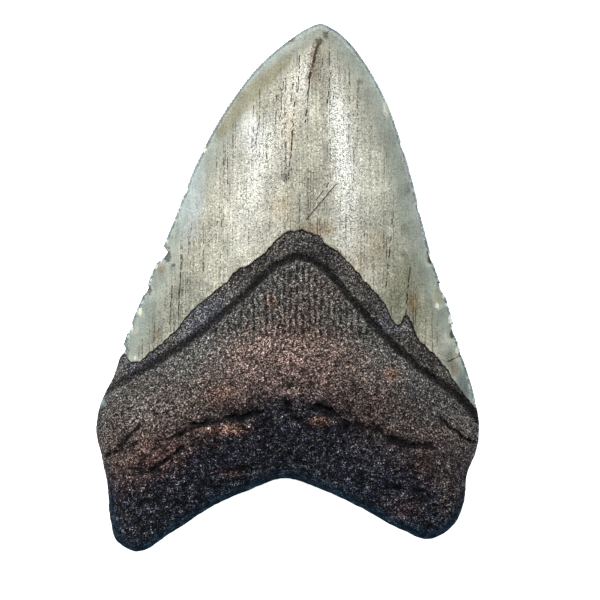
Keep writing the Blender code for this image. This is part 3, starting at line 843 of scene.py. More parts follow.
# Hairline cracks in the enamel: from, to, width and the noise above which they are broken.
ENAMEL_CRACKS = [
    ((9.6, 58.4), (6.6, 54.4), 0.32, 0.54), ((6.6, 54.4), (5.0, 47.6), 0.42, 0.57),
    ((5.0, 47.8), (4.1, 37.4), 0.2, 0.58), ((2.7, 52.6), (2.4, 44.2), 0.15, 0.56),
    ((1.3, 48.2), (0.8, 42.2), 0.15, 0.54), ((1.6, 42.0), (0.7, 29.4), 0.18, 0.58),
    ((0.7, 29.4), (0.2, 24.4), 0.13, 0.54), ((-2.3, 46.0), (-2.9, 35.0), 0.13, 0.54),
    ((-1.0, 46.6), (-1.8, 38.0), 0.12, 0.54), ((9.8, 48.9), (9.0, 41.5), 0.17, 0.58),
    ((10.8, 45.4), (10.4, 42.6), 0.14, 0.58), ((7.9, 51.8), (7.7, 50.0), 0.13, 0.6),
    ((-6.4, 38.4), (-7.8, 28.8), 0.12, 0.52), ((-4.4, 36.0), (-5.4, 24.0), 0.13, 0.52),
    ((23.9, 16.4), (22.9, 6.4), 0.16, 0.55), ((22.9, 6.4), (22.2, 0.0), 0.14, 0.55),
    ((27.8, 4.6), (26.6, -6.6), 0.18, 0.6), ((-26.2, 0.4), (-26.8, -9.8), 0.15, 0.56),
    ((-24.2, 4.4), (-24.8, -6.4), 0.17, 0.58), ((-15.6, 18.4), (-16.4, 8.8), 0.13, 0.52),
    ((10.9, 23.2), (4.2, 15.2), 0.14, 0.64), ((9.4, 23.6), (6.4, 19.6), 0.12, 0.56),
    ((36.4, -16.8), (39.2, -15.6), 0.16, 0.62), ((-21.6, 16.0), (-22.4, 9.4), 0.13, 0.52),
]
CRACK_WANDER = 0.7
# An olive streak beside the left edge, near the tip.
OLIVE_STREAK = [
    ((-15.0, 36.6), (-9.9, 42.8), 3.0, 2.0), ((-9.9, 42.8), (-4.2, 48.0), 2.6, 2.0),
    ((-4.2, 48.0), (0.0, 52.0), 1.8, 2.0),
]
OLIVE_WANDER = 3.4
# Broad tones of the enamel, some its own and some painted light and shade: each tone with the centre, reach
# and strength of its places.
ENAMEL_TONES_AND_PAINTED_LIGHT = [
    # Darker olive on the right flank, partly painted shade.
    ((122, 121, 101), [
        ((27.0, -2.0), (10.0, 20.0), 1.0), ((34.0, -6.0), (4.5, 13.0), 0.75), ((24.8, 34.4), (3.0, 8.0), 0.7),
    ]),
    # Painted shade on the right flank and at the foot of the left glossy band.
    ((156, 156, 140), [((23.5, 20.0), (9.0, 20.0), 0.75), ((-11.8, 8.6), (3.6, 4.4), 0.4)]),
    ((126, 126, 113), [((-31.5, -8.0), (7.5, 13.0), 0.9), ((-24.0, -4.0), (10.0, 13.0), 0.75)]),
    # Painted light, pale and bluish, on the upper left flank.
    ((200, 206, 206), [((-22.6, 22.0), (5.0, 15.0), 0.75)]),
    ((150, 136, 108), [
        ((6.5, 56.0), (8.0, 6.0), 0.4), ((20.4, 9.0), (3.6, 7.0), 0.45),
        ((14.7, 5.6), (5.0, 6.5), 0.5),
    ]),
    # Painted highlight that widens the right glossy band.
    ((206, 202, 183), [((5.8, 37.0), (4.4, 13.0), 0.55), ((19.2, 25.0), (4.8, 11.0), 0.5)]),
    ((118, 124, 108), [((25.9, 18.6), (2.2, 10.0), 0.6)]),
]
# Stains of the enamel, in the same way, with a painted highlight and painted shade by the glossy bands.
ENAMEL_STAINS_AND_PAINTED_LIGHT = [
    # Painted highlight at the top of the left glossy band.
    ((222, 222, 214), [((-8.6, 35.2), (4.0, 6.6), 0.75)]),
    # Painted shade beside the glossy bands, which narrows them.
    ((140, 134, 116), [((-3.2, 20.0), (2.5, 12.0), 0.5), ((15.2, 14.2), (3.2, 5.0), 0.6)]),
    ((180, 164, 132), [((0.4, 37.0), (3.4, 10.0), 0.4), ((-1.0, 18.0), (3.6, 5.0), 0.4)]),
    ((118, 98, 72), [
        ((5.6, 50.0), (1.6, 7.0), 0.8), ((7.0, 13.0), (6.5, 2.8), 0.65), ((28.4, -3.8), (1.9, 3.6), 0.85),
        ((38.0, -18.6), (1.6, 2.2), 0.6), ((-29.6, -10.8), (1.3, 2.0), 0.6), ((-28.8, 4.2), (1.5, 2.2), 0.55),
    ]),
    ((96, 96, 82), [
        ((36.7, -16.0), (2.8, 3.8), 0.75), ((-0.8, 25.0), (2.0, 1.6), 0.9), ((16.4, 46.8), (1.4, 1.0), 0.6),
        ((26.4, 7.4), (1.1, 1.5), 0.7), ((27.2, 22.8), (1.3, 2.4), 0.55), ((26.6, 13.4), (1.2, 2.4), 0.45),
        ((-15.6, 36.0), (2.4, 3.6), 0.35),
    ]),
    ((66, 78, 80), [((39.8, -22.5), (2.6, 6.0), 0.7)]),
]
# Small marks with sharp edges, in the same way: pale chips with painted glints, painted shade in dark
# notches, and dirt at the tip.
ENAMEL_CHIPS_GLINTS_AND_SHADE = [
    # Pale chips, most of them painted glints on the edges.
    ((222, 224, 208), [
        ((22.6, 40.9), (1.0, 1.8), 0.6), ((-19.0, 31.2), (0.5, 0.6), 0.85), ((35.6, -1.2), (0.6, 1.3), 0.8),
        ((34.0, -4.2), (0.5, 0.8), 0.65), ((36.9, -7.4), (0.5, 1.0), 0.8), ((38.5, -14.4), (0.5, 0.9), 0.8),
        ((-30.0, 4.8), (0.5, 0.8), 0.7), ((-33.6, -5.4), (0.5, 1.0), 0.8), ((-35.4, -9.0), (0.4, 1.1), 0.7),
        ((-34.6, -16.0), (0.4, 0.6), 0.6),
    ]),
    # Painted blue-grey shade in notches of the edges.
    ((60, 69, 75), [
        ((32.4, 6.4), (0.6, 1.3), 0.95), ((37.2, -10.8), (0.5, 0.9), 0.9), ((36.2, -1.9), (0.5, 0.9), 0.75),
        ((-27.2, 7.2), (0.8, 1.8), 0.85), ((-31.4, -0.8), (0.6, 1.1), 0.8), ((-36.4, -14.8), (0.5, 2.0), 0.7),
        ((0.6, 56.2), (1.3, 0.9), 0.25), ((-26.0, 5.0), (0.5, 0.5), 0.8),
    ]),
    ((76, 66, 50), [
        ((8.6, 57.3), (0.6, 0.9), 0.7), ((7.1, 55.8), (1.1, 0.9), 0.9), ((6.3, 54.2), (0.9, 1.2), 0.8),
        ((5.8, 52.2), (0.9, 1.2), 0.8), ((5.2, 50.0), (0.8, 1.3), 0.7), ((4.7, 47.6), (0.7, 1.2), 0.7),
    ]),
]
# Thin cracks in the root: from, to, width and the noise above which they are broken.
ROOT_CRACKS = [
    ((-29.0, -34.7), (-24.0, -33.1), 0.5, 0.6), ((-24.0, -33.1), (-19.9, -31.1), 0.55, 0.66),
    ((-19.9, -31.1), (-14.2, -29.7), 0.7, 0.68), ((-14.2, -29.7), (-5.8, -28.1), 0.6, 0.64),
    ((-24.0, -36.3), (-30.6, -41.5), 0.6, 0.6), ((-33.5, -31.3), (-37.8, -35.8), 0.65, 0.64),
    ((-33.5, -34.9), (-40.8, -38.1), 0.6, 0.64), ((-30.6, -41.5), (-36.0, -42.6), 0.4, 0.56),
    ((-22.4, -43.6), (-8.4, -40.4), 0.35, 0.58), ((11.9, -30.0), (15.3, -31.1), 0.8, 0.66),
    ((15.3, -31.1), (20.0, -32.0), 0.8, 0.66), ((20.0, -32.0), (23.0, -33.8), 1.0, 0.7),
    ((23.0, -33.8), (26.0, -35.4), 1.3, 0.7), ((26.0, -35.4), (33.1, -36.3), 0.8, 0.64),
    ((34.0, -29.5), (37.6, -32.4), 0.5, 0.6), ((37.6, -32.4), (42.2, -35.2), 0.5, 0.62),
    ((21.0, -45.2), (30.8, -45.9), 0.45, 0.6), ((-39.0, -29.0), (-34.0, -26.4), 0.3, 0.54),
    ((2.0, -27.6), (-3.0, -28.2), 0.35, 0.56),
]
ROOT_CRACK_WANDER = 1.6
# Patches on the root, in the same way: brown, red-brown, grey and dark ones, painted shade on its slope below
# the breaks, and painted shade in its hollows.
ROOT_PATCHES_AND_SHADE = [
    ((101, 84, 78), [((0.0, -16.0), (20.0, 10.5), 0.85), ((8.0, 0.0), (13.0, 7.0), 0.2)]),
    ((112, 84, 72), [
        ((-3.8, -3.2), (2.2, 3.0), 0.45), ((7.2, -30.2), (3.6, 1.6), 0.45),
        ((-13.6, -32.0), (9.0, 1.7), 0.45), ((23.4, -19.6), (3.2, 2.4), 0.55),
        ((-15.0, -24.0), (4.5, 3.4), 0.4),
    ]),
    ((68, 46, 43), [
        ((-30.0, -37.0), (10.0, 7.0), 0.4), ((-12.6, -42.0), (5.0, 1.6), 0.35),
        ((26.0, -50.0), (6.0, 4.0), 0.2), ((20.6, -26.0), (3.4, 3.2), 0.4),
    ]),
    ((64, 57, 52), [
        ((-30.0, -24.0), (12.0, 6.0), 0.5), ((-38.0, -30.0), (7.0, 6.0), 0.75),
        ((36.8, -46.0), (5.0, 7.0), 0.4),
    ]),
    ((40, 39, 41), [
        ((30.0, -27.0), (14.0, 9.0), 0.6), ((38.0, -38.0), (8.0, 9.0), 0.7),
        ((22.0, -36.0), (12.0, 6.0), 0.65), ((-16.0, -28.4), (9.0, 2.0), 0.4),
        ((0.0, -27.6), (9.0, 2.6), 0.55),
    ]),
    # Painted shade on the slope below the breaks.
    ((24, 24, 27), [((0.0, -36.0), (14.0, 4.5), 0.6)]),
    ((15, 14, 16), [
        ((-0.6, -26.4), (2.0, 2.4), 0.7), ((-17.8, -30.6), (2.6, 1.3), 0.7),
        ((-8.6, -28.3), (2.8, 1.0), 0.45), ((14.2, -30.8), (2.4, 1.5), 0.6),
        ((24.6, -34.8), (2.6, 1.2), 0.5), ((-37.0, -34.6), (3.6, 1.8), 0.4),
        ((-29.7, -28.4), (1.2, 1.0), 0.8), ((-27.4, -28.3), (0.9, 0.9), 0.8),
    ]),
]
# Pale marks at the root's rim, in the same way: slivers of labial enamel, the left one with a painted
# highlight.
ROOT_RIM_ENAMEL_AND_HIGHLIGHT = [((140, 152, 154), [
    ((-42.2, -26.0), (1.1, 1.6), 0.75), ((42.9, -27.6), (0.7, 2.2), 0.35),
])]
ENAMEL_TONES = tone(152, 148, 131), tone(178, 174, 157)
BOURLETTE_TONES = tone(45, 43, 42), tone(67, 64, 60)
BOURLETTE_PATCHES = [((71, 72, 78), [
    ((-20.0, -6.0), (14.0, 10.0), 0.6), ((-33.0, -18.0), (9.0, 7.0), 0.6),
    ((24.0, -8.0), (5.0, 4.0), 0.6),
])]
# Painted shade in the groove between the bourlette and the root.
GROOVE_SHADE_TONE = tone(12, 12, 14)
# The near-black of the breaks, a painted shade in their depths, and of the thin cracks.
CUT_TONE = tone(6, 6, 7)
RIM_TONE = tone(136, 150, 144)
OLIVE_TONE = tone(132, 122, 90)
# A painted blue reflection along the root's rim.
ROOT_RIM_REFLECTION_TONE = tone(8, 38, 54)
# Painted blue light in the shade low on the root, as a floor under its darkest places.
ROOT_BLUE_SHADE_TONE = tone(4, 12, 28)
# Painted glints on the grain of the root and the bourlette.
GRAIN_GLINT_TONE = tone(164, 155, 146)
PAINTED_SHEEN_TONE = tone(17, 17, 18)  # painted sheen: a grey veil added over the bourlette and root, which lifts the darkest places
# The tone of the enamel's cracks, also used for a painted shadow under the enamel's lower edge.
CRACK_AND_LIP_SHADOW_TONE = tone(30, 24, 18)
SCAR_TONE = tone(182, 172, 140)
# A painted blue reflection along the enamel's very rim, then painted glints and painted shade in the notches
# of its serrations.
EDGE_REFLECTION_TONE = tone(76, 100, 112)
EDGE_GLINT_TONE = tone(226, 230, 222)
NOTCH_SHADE_TONE = tone(54, 66, 76)
# The root's tone from the groove, 0, to its base, 1, darker down the slope to the base, partly painted shade.
ROOT_TONES = [
    (0.0, (69, 68, 66)), (0.14, (75, 72, 69)), (0.3, (76, 67, 62)), (0.5, (59, 48, 45)),
    (0.62, (36, 30, 30)), (0.7, (20, 19, 21)), (0.85, (25, 25, 27)), (1.0, (20, 25, 30)),
]


# ---- How the finishes are laid on. Sizes and distances are in millimetres. ----

NOISE_MOSTLY = (0.3, 0.7)  # the range that most of a noise falls in
LIGHTER = (-1.0, 1.0)  # half as light, and twice


def flat_point(x, y):
    return (x, y, 0.0)


def masked(tree, masks):
    """The strongest of several masks at each point."""
    strongest = masks[0]
    for mask in masks[1:]:
        strongest = tree.maths("MAXIMUM", strongest, mask)
    return strongest


def shaded(tree, colour, power):
    """The colour made lighter or darker by a power of two."""
    shade = tree.maths("POWER", 2.0, power)
    grey = tree.add("CombineXYZ", {0: shade, 1: shade, 2: shade}).outputs[0]
    return tree.mix(1.0, colour, grey, "MULTIPLY")


STAIN_EDGE, CHIP_EDGE = 2.6, 0.55  # sizes of the unevenness of their edges
STAIN_SOFTNESS, CHIP_SOFTNESS = 0.8, 0.25
STAIN_UNEVENNESS, CHIP_UNEVENNESS = 1.2, 2.6


def with_stains_and_painted_light(tree, groups, place, colour, patches_of_tone, uneven=STAIN_UNEVENNESS, edge=STAIN_EDGE,
            softness=STAIN_SOFTNESS):
    """The colour with each stain or patch of painted light and shade laid over it in turn, on the lingual
    face.
    """
    ragged = tree.times(tree.centred(place["position"], edge, 4.0, 0.65), uneven)
    for shade, spots in patches_of_tone:
        masks = [
            tree.times(strength, tree.use(
                groups["patch"], Position=place["flat"], Centre=flat_point(*centre),
                Reach=(*reach, 1.0), Ragged=ragged, Softness=softness,
            )[0])
            for centre, reach, strength in spots
        ]
        share = tree.times(masked(tree, masks), place["lingual"])
        colour = tree.mix(share, colour, tone(*shade))
    return colour


CRACK_DRIFT, CRACK_GAPS = 1.6, 1.1  # sizes of the noise that bends lines, and of their gaps


def hairlines(tree, groups, place, lines, wander):
    """A mask of broken lines that stray a little, on the lingual face."""
    drift = tree.centred(place["position"], CRACK_DRIFT)
    drift = tree.add("CombineXYZ", {"X": drift, "Y": drift}).outputs[0]
    wandering = tree.vector("ADD", place["flat"], tree.vector("SCALE", drift, Scale=wander))
    gaps = tree.noise(place["position"], CRACK_GAPS)
    cracks = [
        tree.use(
            groups["hairline"], Position=wandering, From=flat_point(*start), To=flat_point(*end),
            Width=width, Gaps=gaps, Breaks=breaks,
        )[0]
        for start, end, width, breaks in lines
    ]
    return tree.times(masked(tree, cracks), place["lingual"])


# ---- Enamel ----

# Streaks along the tooth: spacing, length and sharpness.
BROAD_FIBRES, FINE_FIBRES = (2.6, 34.0, 1.7), (0.4, 9.0, 2.4)
DASH_TRACKS, DASHES = (0.32, 26.0, 2.4), (0.6, 1.2, 2.0)
DASH_TRACK_LEVEL, DASH_LEVEL, DASH_SHARE = (0.28, 0.16), (0.58, 0.46), 0.8
# Where an effect starts and ends, from the rim, and its strength at each.
PALE_RIM, EDGE_REFLECTION_RIM, DASHED = (7.0, 0.5), (1.0, 0.1), (2.0, 5.0)
SPECKLED = (2.5, 8.0, 0.35, 1.0)
# Where up the tooth the rim gets painted glints and notch shade, and how glossy the enamel is.
RIM_MARKS_UP, GLOSSY_UP = (34.0, 6.0, 0.25, 1.0), (8.0, 34.0, 0.28, 0.58)
ENAMEL_UNEVENNESS = 0.9
ENAMEL_PITS = {"Size": 0.34, "Share": 0.24}
ENAMEL_GLINTS = {"Size": 0.33, "Share": 0.12}
ENAMEL_GRAIN, ENAMEL_MOTTLE, ENAMEL_FINE_GRAIN = 0.42, 5.0, 0.3
# How much each makes the enamel lighter, as powers of two.
GRAIN_LIGHT, FIBRE_LIGHT, MOTTLE_LIGHT, PIT_LIGHT, GLINT_LIGHT = 0.32, 0.8, 0.2, -1.1, 0.8
# Shares of each tone.
PALE_RIM_SHARE, OLIVE_SHARE, CRACK_SHARE, SCAR_SHARE = 0.6, 0.58, 0.95, 0.35
EDGE_REFLECTION_SHARE, EDGE_GLINT_SHARE, NOTCH_SHADE_SHARE = 0.65, 0.8, 0.7
SCARRED = (0.05, 0.5)  # depths of a scar
# Specks along the rim: the palest get a painted glint and the darkest painted shade.
RIM_SPECK_SIZE, EDGE_GLINT_LEVELS, NOTCH_SHADE_LEVELS = 0.62, (0.8, 0.88), (0.3, 0.22)
CRACK_HEIGHT, PIT_HEIGHT, GRAIN_HEIGHT = -0.1, -0.02, 0.035
GLOSS_GRAIN = (0.35, 0.65, 0.3, 1.7)  # how its fine grain breaks up the gloss
ENAMEL_ROUGHNESS = 0.23, 0.18  # between its broad fibres and on them


def enamel_tone(tree, groups, place, fibres):
    """The enamel's colour without its cracks: streaks, stains, painted light and shade, paler rims and
    speckle.
    """
    position = place["position"]
    broad, fine = fibres(*BROAD_FIBRES), fibres(*FINE_FIBRES)
    colour = tree.mix(broad, *ENAMEL_TONES)
    colour = with_stains_and_painted_light(tree, groups, place, colour, ENAMEL_TONES_AND_PAINTED_LIGHT, ENAMEL_UNEVENNESS)
    rim = tree.span(place["from_rim"], *PALE_RIM)
    colour = tree.lay(colour, rim, PALE_RIM_SHARE, RIM_TONE)
    colour = with_stains_and_painted_light(tree, groups, place, colour, ENAMEL_STAINS_AND_PAINTED_LIGHT, ENAMEL_UNEVENNESS)
    streak = hairlines(tree, groups, place, OLIVE_STREAK, OLIVE_WANDER)
    colour = tree.lay(colour, streak, OLIVE_SHARE, OLIVE_TONE)

    speckled = tree.span(place["from_rim"], *SPECKLED)
    grains = tree.span(tree.noise(position, ENAMEL_GRAIN, 0.0), *NOISE_MOSTLY, *LIGHTER)
    mottle = tree.noise(position, ENAMEL_MOTTLE)
    mottle = tree.span(mottle, *NOISE_MOSTLY, -MOTTLE_LIGHT, MOTTLE_LIGHT)
    power = tree.times(tree.maths("SUBTRACT", fine, 0.5), FIBRE_LIGHT)
    power = tree.plus(grains, GRAIN_LIGHT, power)
    power = tree.plus(power, speckled, mottle)
    pits = tree.use(groups["specks"], Position=position, **ENAMEL_PITS)[0]
    glints = tree.use(groups["specks"], Position=position, **ENAMEL_GLINTS)[0]
    power = tree.plus(tree.times(pits, speckled), PIT_LIGHT, power)
    power = tree.plus(tree.times(glints, speckled), GLINT_LIGHT, power)
    return shaded(tree, colour, power), broad, pits


def enamel_cracks(tree, groups, place, fibres):
    """A mask of the hairline cracks, and of the dashes that line up along the tooth."""
    cracks = hairlines(tree, groups, place, ENAMEL_CRACKS, CRACK_WANDER)
    tracks = tree.span(fibres(*DASH_TRACKS), *DASH_TRACK_LEVEL)
    dashes = tree.span(fibres(*DASHES), *DASH_LEVEL)
    dashes = tree.times(tracks, dashes, tree.span(place["from_rim"], *DASHED))
    return masked(tree, [cracks, tree.times(dashes, DASH_SHARE)])


def enamel_finish(tree, groups, place):
    """Grey enamel: fibres along the tooth, pits, hairline cracks and stains, and worn edges with a painted
    blue reflection, painted glints and painted shade in their notches.
    """
    position = place["position"]

    def fibres(spacing, length, sharpness):
        values = {"Spacing": spacing, "Length": length, "Sharpness": sharpness}
        return tree.use(groups["fibres"], Position=position, Side=place["lingual"], **values)[0]

    colour, broad, pits = enamel_tone(tree, groups, place, fibres)
    dark = enamel_cracks(tree, groups, place, fibres)
    colour = tree.lay(colour, dark, CRACK_SHARE, CRACK_AND_LIP_SHADOW_TONE)
    colour = tree.lay(colour, tree.span(place["scar"], *SCARRED), SCAR_SHARE, SCAR_TONE)

    # Along the rim: a painted blue reflection, and lower down painted glints and painted shade in the
    # notches.
    chips = tree.use(groups["specks"], Position=position, Size=RIM_SPECK_SIZE, Share=1.0)["Random"]
    worn = tree.span(place["from_rim"], *EDGE_REFLECTION_RIM)
    rim_marks = tree.times(worn, tree.span(place["up"], *RIM_MARKS_UP))
    edge_glint = tree.times(tree.span(chips, *EDGE_GLINT_LEVELS), rim_marks)
    shadow = tree.times(tree.span(chips, *NOTCH_SHADE_LEVELS), rim_marks)
    colour = tree.lay(colour, worn, EDGE_REFLECTION_SHARE, EDGE_REFLECTION_TONE)
    colour = tree.lay(colour, edge_glint, EDGE_GLINT_SHARE, EDGE_GLINT_TONE)
    colour = tree.lay(colour, shadow, NOTCH_SHADE_SHARE, NOTCH_SHADE_TONE)
    sharp = CHIP_UNEVENNESS, CHIP_EDGE, CHIP_SOFTNESS
    colour = with_stains_and_painted_light(tree, groups, place, colour, ENAMEL_CHIPS_GLINTS_AND_SHADE, *sharp)

    height = tree.times(dark, CRACK_HEIGHT)
    height = tree.plus(pits, PIT_HEIGHT, height)
    grains = tree.noise(position, ENAMEL_FINE_GRAIN, 0.0)
    height = tree.plus(grains, GRAIN_HEIGHT, height)
    gloss = tree.maths("SUBTRACT", 1.0, masked(tree, [pits, dark]))
    gloss = tree.times(gloss, tree.span(place["up"], *GLOSSY_UP))
    gloss = tree.times(gloss, tree.span(grains, *GLOSS_GRAIN))
    return colour, tree.mix_values(broad, *ENAMEL_ROUGHNESS), height, gloss


# ---- Grain of the bourlette and the root ----

SOFT_GRAIN, COARSE_GRAIN, CELL_SIZE = 0.33, 0.8, 0.23
# Sparks: pale grains, made lighter still as painted glints.
SPARKS = {"Size": 0.3, "Share": 0.15}
GRAIN_PITS = {"Size": 0.38, "Share": 0.2}
CELLS_IN_FINE, SOFT_IN_FINE = 2.0, 0.4
# How much each makes the grain lighter, as powers of two, and how high it stands.
FINE_LIGHT, COARSE_LIGHT, SPARK_LIGHT, GRAIN_PIT_LIGHT = 2.3, 0.6, 1.8, -2.2
COARSE_HEIGHT, SOFT_HEIGHT = 0.14, 0.07
GLINTING_GRAIN, GRAIN_GLINT_SHARE = (-0.4, 0.5), 0.7  # how light a fine grain is that gets a painted glint, and the glint's share
BOURLETTE_BLOTCHES = 6.0
BOURLETTE_GRAIN = 0.95
BOURLETTE_ROUGHNESS, BOURLETTE_HEIGHT = 0.42, 0.6


def grainy(tree, groups, position, colour, strength):
    """The colour broken into light and dark grains with painted glints, and the height of those grains."""
    soft = tree.span(tree.noise(position, SOFT_GRAIN, 0.0), 0.25, 0.75, *LIGHTER)
    cells = tree.use(groups["specks"], Position=position, Size=CELL_SIZE, Share=1.0)["Random"]
    fine = tree.maths("SUBTRACT", cells, 0.5)
    fine = tree.plus(fine, CELLS_IN_FINE, tree.times(soft, SOFT_IN_FINE))
    coarse = tree.span(tree.noise(position, COARSE_GRAIN, 1.0), *NOISE_MOSTLY, *LIGHTER)
    sparks = tree.use(groups["specks"], Position=position, **SPARKS)[0]
    pits = tree.use(groups["specks"], Position=position, **GRAIN_PITS)[0]
    power = tree.plus(fine, FINE_LIGHT, tree.times(coarse, COARSE_LIGHT))
    power = tree.plus(sparks, SPARK_LIGHT, power)
    power = tree.plus(pits, GRAIN_PIT_LIGHT, power)
    colour = shaded(tree, colour, tree.times(power, strength))
    # Painted glints: pale specks laid on the sparks of the lighter fine grains.
    grain_glints = tree.times(sparks, tree.span(fine, *GLINTING_GRAIN))
    height = tree.plus(coarse, COARSE_HEIGHT, tree.times(soft, SOFT_HEIGHT))
    return tree.lay(colour, grain_glints, GRAIN_GLINT_SHARE, GRAIN_GLINT_TONE), height


def bourlette_finish(tree, groups, place):
    """A dark, fine leathery band between the enamel and the root."""
    blotches = tree.span(tree.noise(place["position"], BOURLETTE_BLOTCHES, 3.0), 0.35, 0.65)
    colour = tree.mix(blotches, *BOURLETTE_TONES)
    colour = with_stains_and_painted_light(tree, groups, place, colour, BOURLETTE_PATCHES)
    colour, height = grainy(tree, groups, place["position"], colour, BOURLETTE_GRAIN)
    return colour, BOURLETTE_ROUGHNESS, tree.times(height, BOURLETTE_HEIGHT)


# ---- Root ----

RIB_PITCH = 1.4
RIB_WANDER, RIB_WANDER_SIZE = 9.0, 3.5  # in radians of a rib
RIB_TROUGH = (-0.2, 0.9)  # of a sine
RIBS_BELOW_GROOVE, RIBS_UP, RIBS_BROKEN = (0.8, 1.8), (-12.8, -9.6), (0.3, 0.5)
RIB_BREAKS = 1.3
TONES_WANDER, TONES_WANDER_SIZE = 0.22, 7.0
# Where an effect starts and ends down the root, from 0 to 1, and its strength at each.
SHADED_DOWN, BLUE_DOWN, ROCKY_DOWN = (0.5, 0.75), (0.5, 0.95, 0.35, 1.0), (0.35, 0.6, 0.4, 2.4)
HOLLOW_DOWN, LUMPY_DOWN = (0.25, 0.5), (0.3, 0.6, 0.1, 1.0)
BLUE_RIM = (3.0, 0.3)  # from the rim
BLUE_BY_FACE = (0.0, 1.0, 0.25, 0.7)  # on the labial face and on the lingual one
STRONGER_GRAIN = 0.3  # added at the base
ROCKY_SIZE, HOLLOW_SIZE, HOLLOW_LEVEL = 1.9, 2.6, (0.62, 0.7)
TROUGH_LIGHT, HOLLOW_LIGHT = -1.6, -1.4  # powers of two: painted shade in the ribs' troughs and in the hollows
CUT_RAGGED, CUT_RAGGED_SIZE = 1.1, 0.8
CUT_DEPTH, CUT_STARTS, CUT_SHARE = (0.3, 0.85), (0.0, 0.15), 0.9
TROUGH_HEIGHT, CUT_HEIGHT, HOLLOW_HEIGHT = -0.3, -0.2, -0.25
ROOT_ROUGHNESS = 0.55


def root_ribs(tree, place):
    """Short upright ribs under the groove: how far into a trough between them, from 0 to 1."""
    wander = tree.noise(place["position"], RIB_WANDER_SIZE, 1.0)
    turn = tree.times(place["across"], 2 * math.pi / RIB_PITCH)
    turn = tree.plus(wander, RIB_WANDER, turn)
    trough = tree.span(tree.maths("SINE", turn), *RIB_TROUGH)
    below = tree.span(place["below_groove"], *RIBS_BELOW_GROOVE)
    zone = tree.times(below, tree.span(place["up"], *RIBS_UP))
    broken = tree.span(tree.noise(place["position"], RIB_BREAKS, 1.0), *RIBS_BROKEN)
    zone = tree.times(zone, tree.times(broken, place["lingual"]))
    return tree.times(trough, zone)


def root_tone(tree, groups, place):
    """The root's colour and grain, from paler below the groove to dark at its base, with painted blue light
    in its shade and a painted blue reflection along its rim.
    """
    position = place["position"]
    wander = tree.centred(position, TONES_WANDER_SIZE, 4.0, 0.6)
    ramp = tree.add("ValToRGB", {"Fac": tree.plus(wander, TONES_WANDER, place["down_root"])})
    stops = ramp.color_ramp.elements
    for index, (at, shade) in enumerate(ROOT_TONES):
        stop = stops[index] if index < 2 else stops.new(at)
        stop.position = at
        stop.color = tone(*shade)
    colour = with_stains_and_painted_light(tree, groups, place, ramp.outputs["Color"], ROOT_PATCHES_AND_SHADE)
    low_down = tree.span(place["down_root"], *SHADED_DOWN)
    strength = tree.plus(low_down, STRONGER_GRAIN, 1.0)
    colour, height = grainy(tree, groups, position, colour, strength)
    # Painted blue light in the shade: low on the root, the darkest places are lifted to a navy.
    colour = tree.mix(low_down, colour, ROOT_BLUE_SHADE_TONE, "LIGHTEN")
    # A painted blue reflection along the rim, low on the root and stronger on the lingual face.
    rim = tree.span(place["from_rim"], *BLUE_RIM)
    rim = tree.times(rim, tree.span(place["lingual"], *BLUE_BY_FACE))
    rim = tree.times(rim, tree.span(place["down_root"], *BLUE_DOWN))
    colour = tree.mix(rim, colour, ROOT_RIM_REFLECTION_TONE)
    return with_stains_and_painted_light(tree, groups, place, colour, ROOT_RIM_ENAMEL_AND_HIGHLIGHT, edge=CHIP_EDGE), height


def root_finish(tree, groups, place):
    """A rough root: ribs below the groove and hollows with painted shade, rocky relief with painted light and
    shade, and breaks darkened by their depth as painted shade.
    """
    position = place["position"]
    colour, grains = root_tone(tree, groups, place)
    troughs = root_ribs(tree, place)
    # Painted shade in the troughs between the ribs.
    colour = shaded(tree, colour, tree.times(troughs, TROUGH_LIGHT))

    # Painted light and shade of a rocky relief, low on the root.
    rocky = tree.noise(position, ROCKY_SIZE)
    light = tree.span(place["down_root"], *ROCKY_DOWN)
    light = tree.times(tree.span(rocky, *NOISE_MOSTLY, -0.5, 0.5), light)
    colour = shaded(tree, colour, light)
    # Painted shade in the hollows, lower down the root.
    hollows = tree.span(tree.noise(position, HOLLOW_SIZE, 3.0, 0.6), *HOLLOW_LEVEL)
    hollows = tree.times(hollows, tree.span(place["down_root"], *HOLLOW_DOWN))
    colour = shaded(tree, colour, tree.times(hollows, HOLLOW_LIGHT))

    # Breaks darkened by their depth, a painted shade, and the thin cracks in the same near-black.
    depth = tree.plus(tree.centred(position, CUT_RAGGED_SIZE, 1.0), CUT_RAGGED, place["cut"])
    cuts = tree.times(tree.span(depth, *CUT_DEPTH), tree.span(place["cut"], *CUT_STARTS))
    cracks = hairlines(tree, groups, place, ROOT_CRACKS, ROOT_CRACK_WANDER)
    cuts = masked(tree, [cuts, cracks])
    colour = tree.lay(colour, cuts, CUT_SHARE, CUT_TONE)
    height = tree.plus(troughs, TROUGH_HEIGHT, grains)
    height = tree.plus(cuts, CUT_HEIGHT, height)
    height = tree.plus(hollows, HOLLOW_HEIGHT, height)
    height = tree.plus(rocky, tree.span(place["down_root"], *LUMPY_DOWN), height)
    return colour, ROOT_ROUGHNESS, height


# ---- The whole material ----

ENAMEL_CRUMBS, ENAMEL_CRUMB_SIZE = 0.7, 0.7  # of its lower edge
ENAMEL_EDGE = (-0.06, 0.06)
# The painted shadow under the enamel's lower edge: where it fades, how far below the edge it lies, and its
# share.
ENAMEL_LIP_SHADOW, ENAMEL_LIP_SHADOW_BELOW, ENAMEL_LIP_SHADOW_SHARE = (0.3, 0.05), 0.1, 0.7
ROOT_FROM_GROOVE = (-0.4, 1.4)
GROOVE_DARK = (1.3, 0.4)
GROOVE_ACROSS = (-39.0, -31.0, 0.4, 0.95)  # fainter at the left end
GROOVE_SHARE, GROOVE_LIGHT = 0.55, -1.6
GLOSS_INDEX, GLOSS_ROUGHNESS = 2.0, 0.29
MASKS = ("below_enamel", "below_groove", "down_root", "from_rim", "cut", "scar", "lingual")


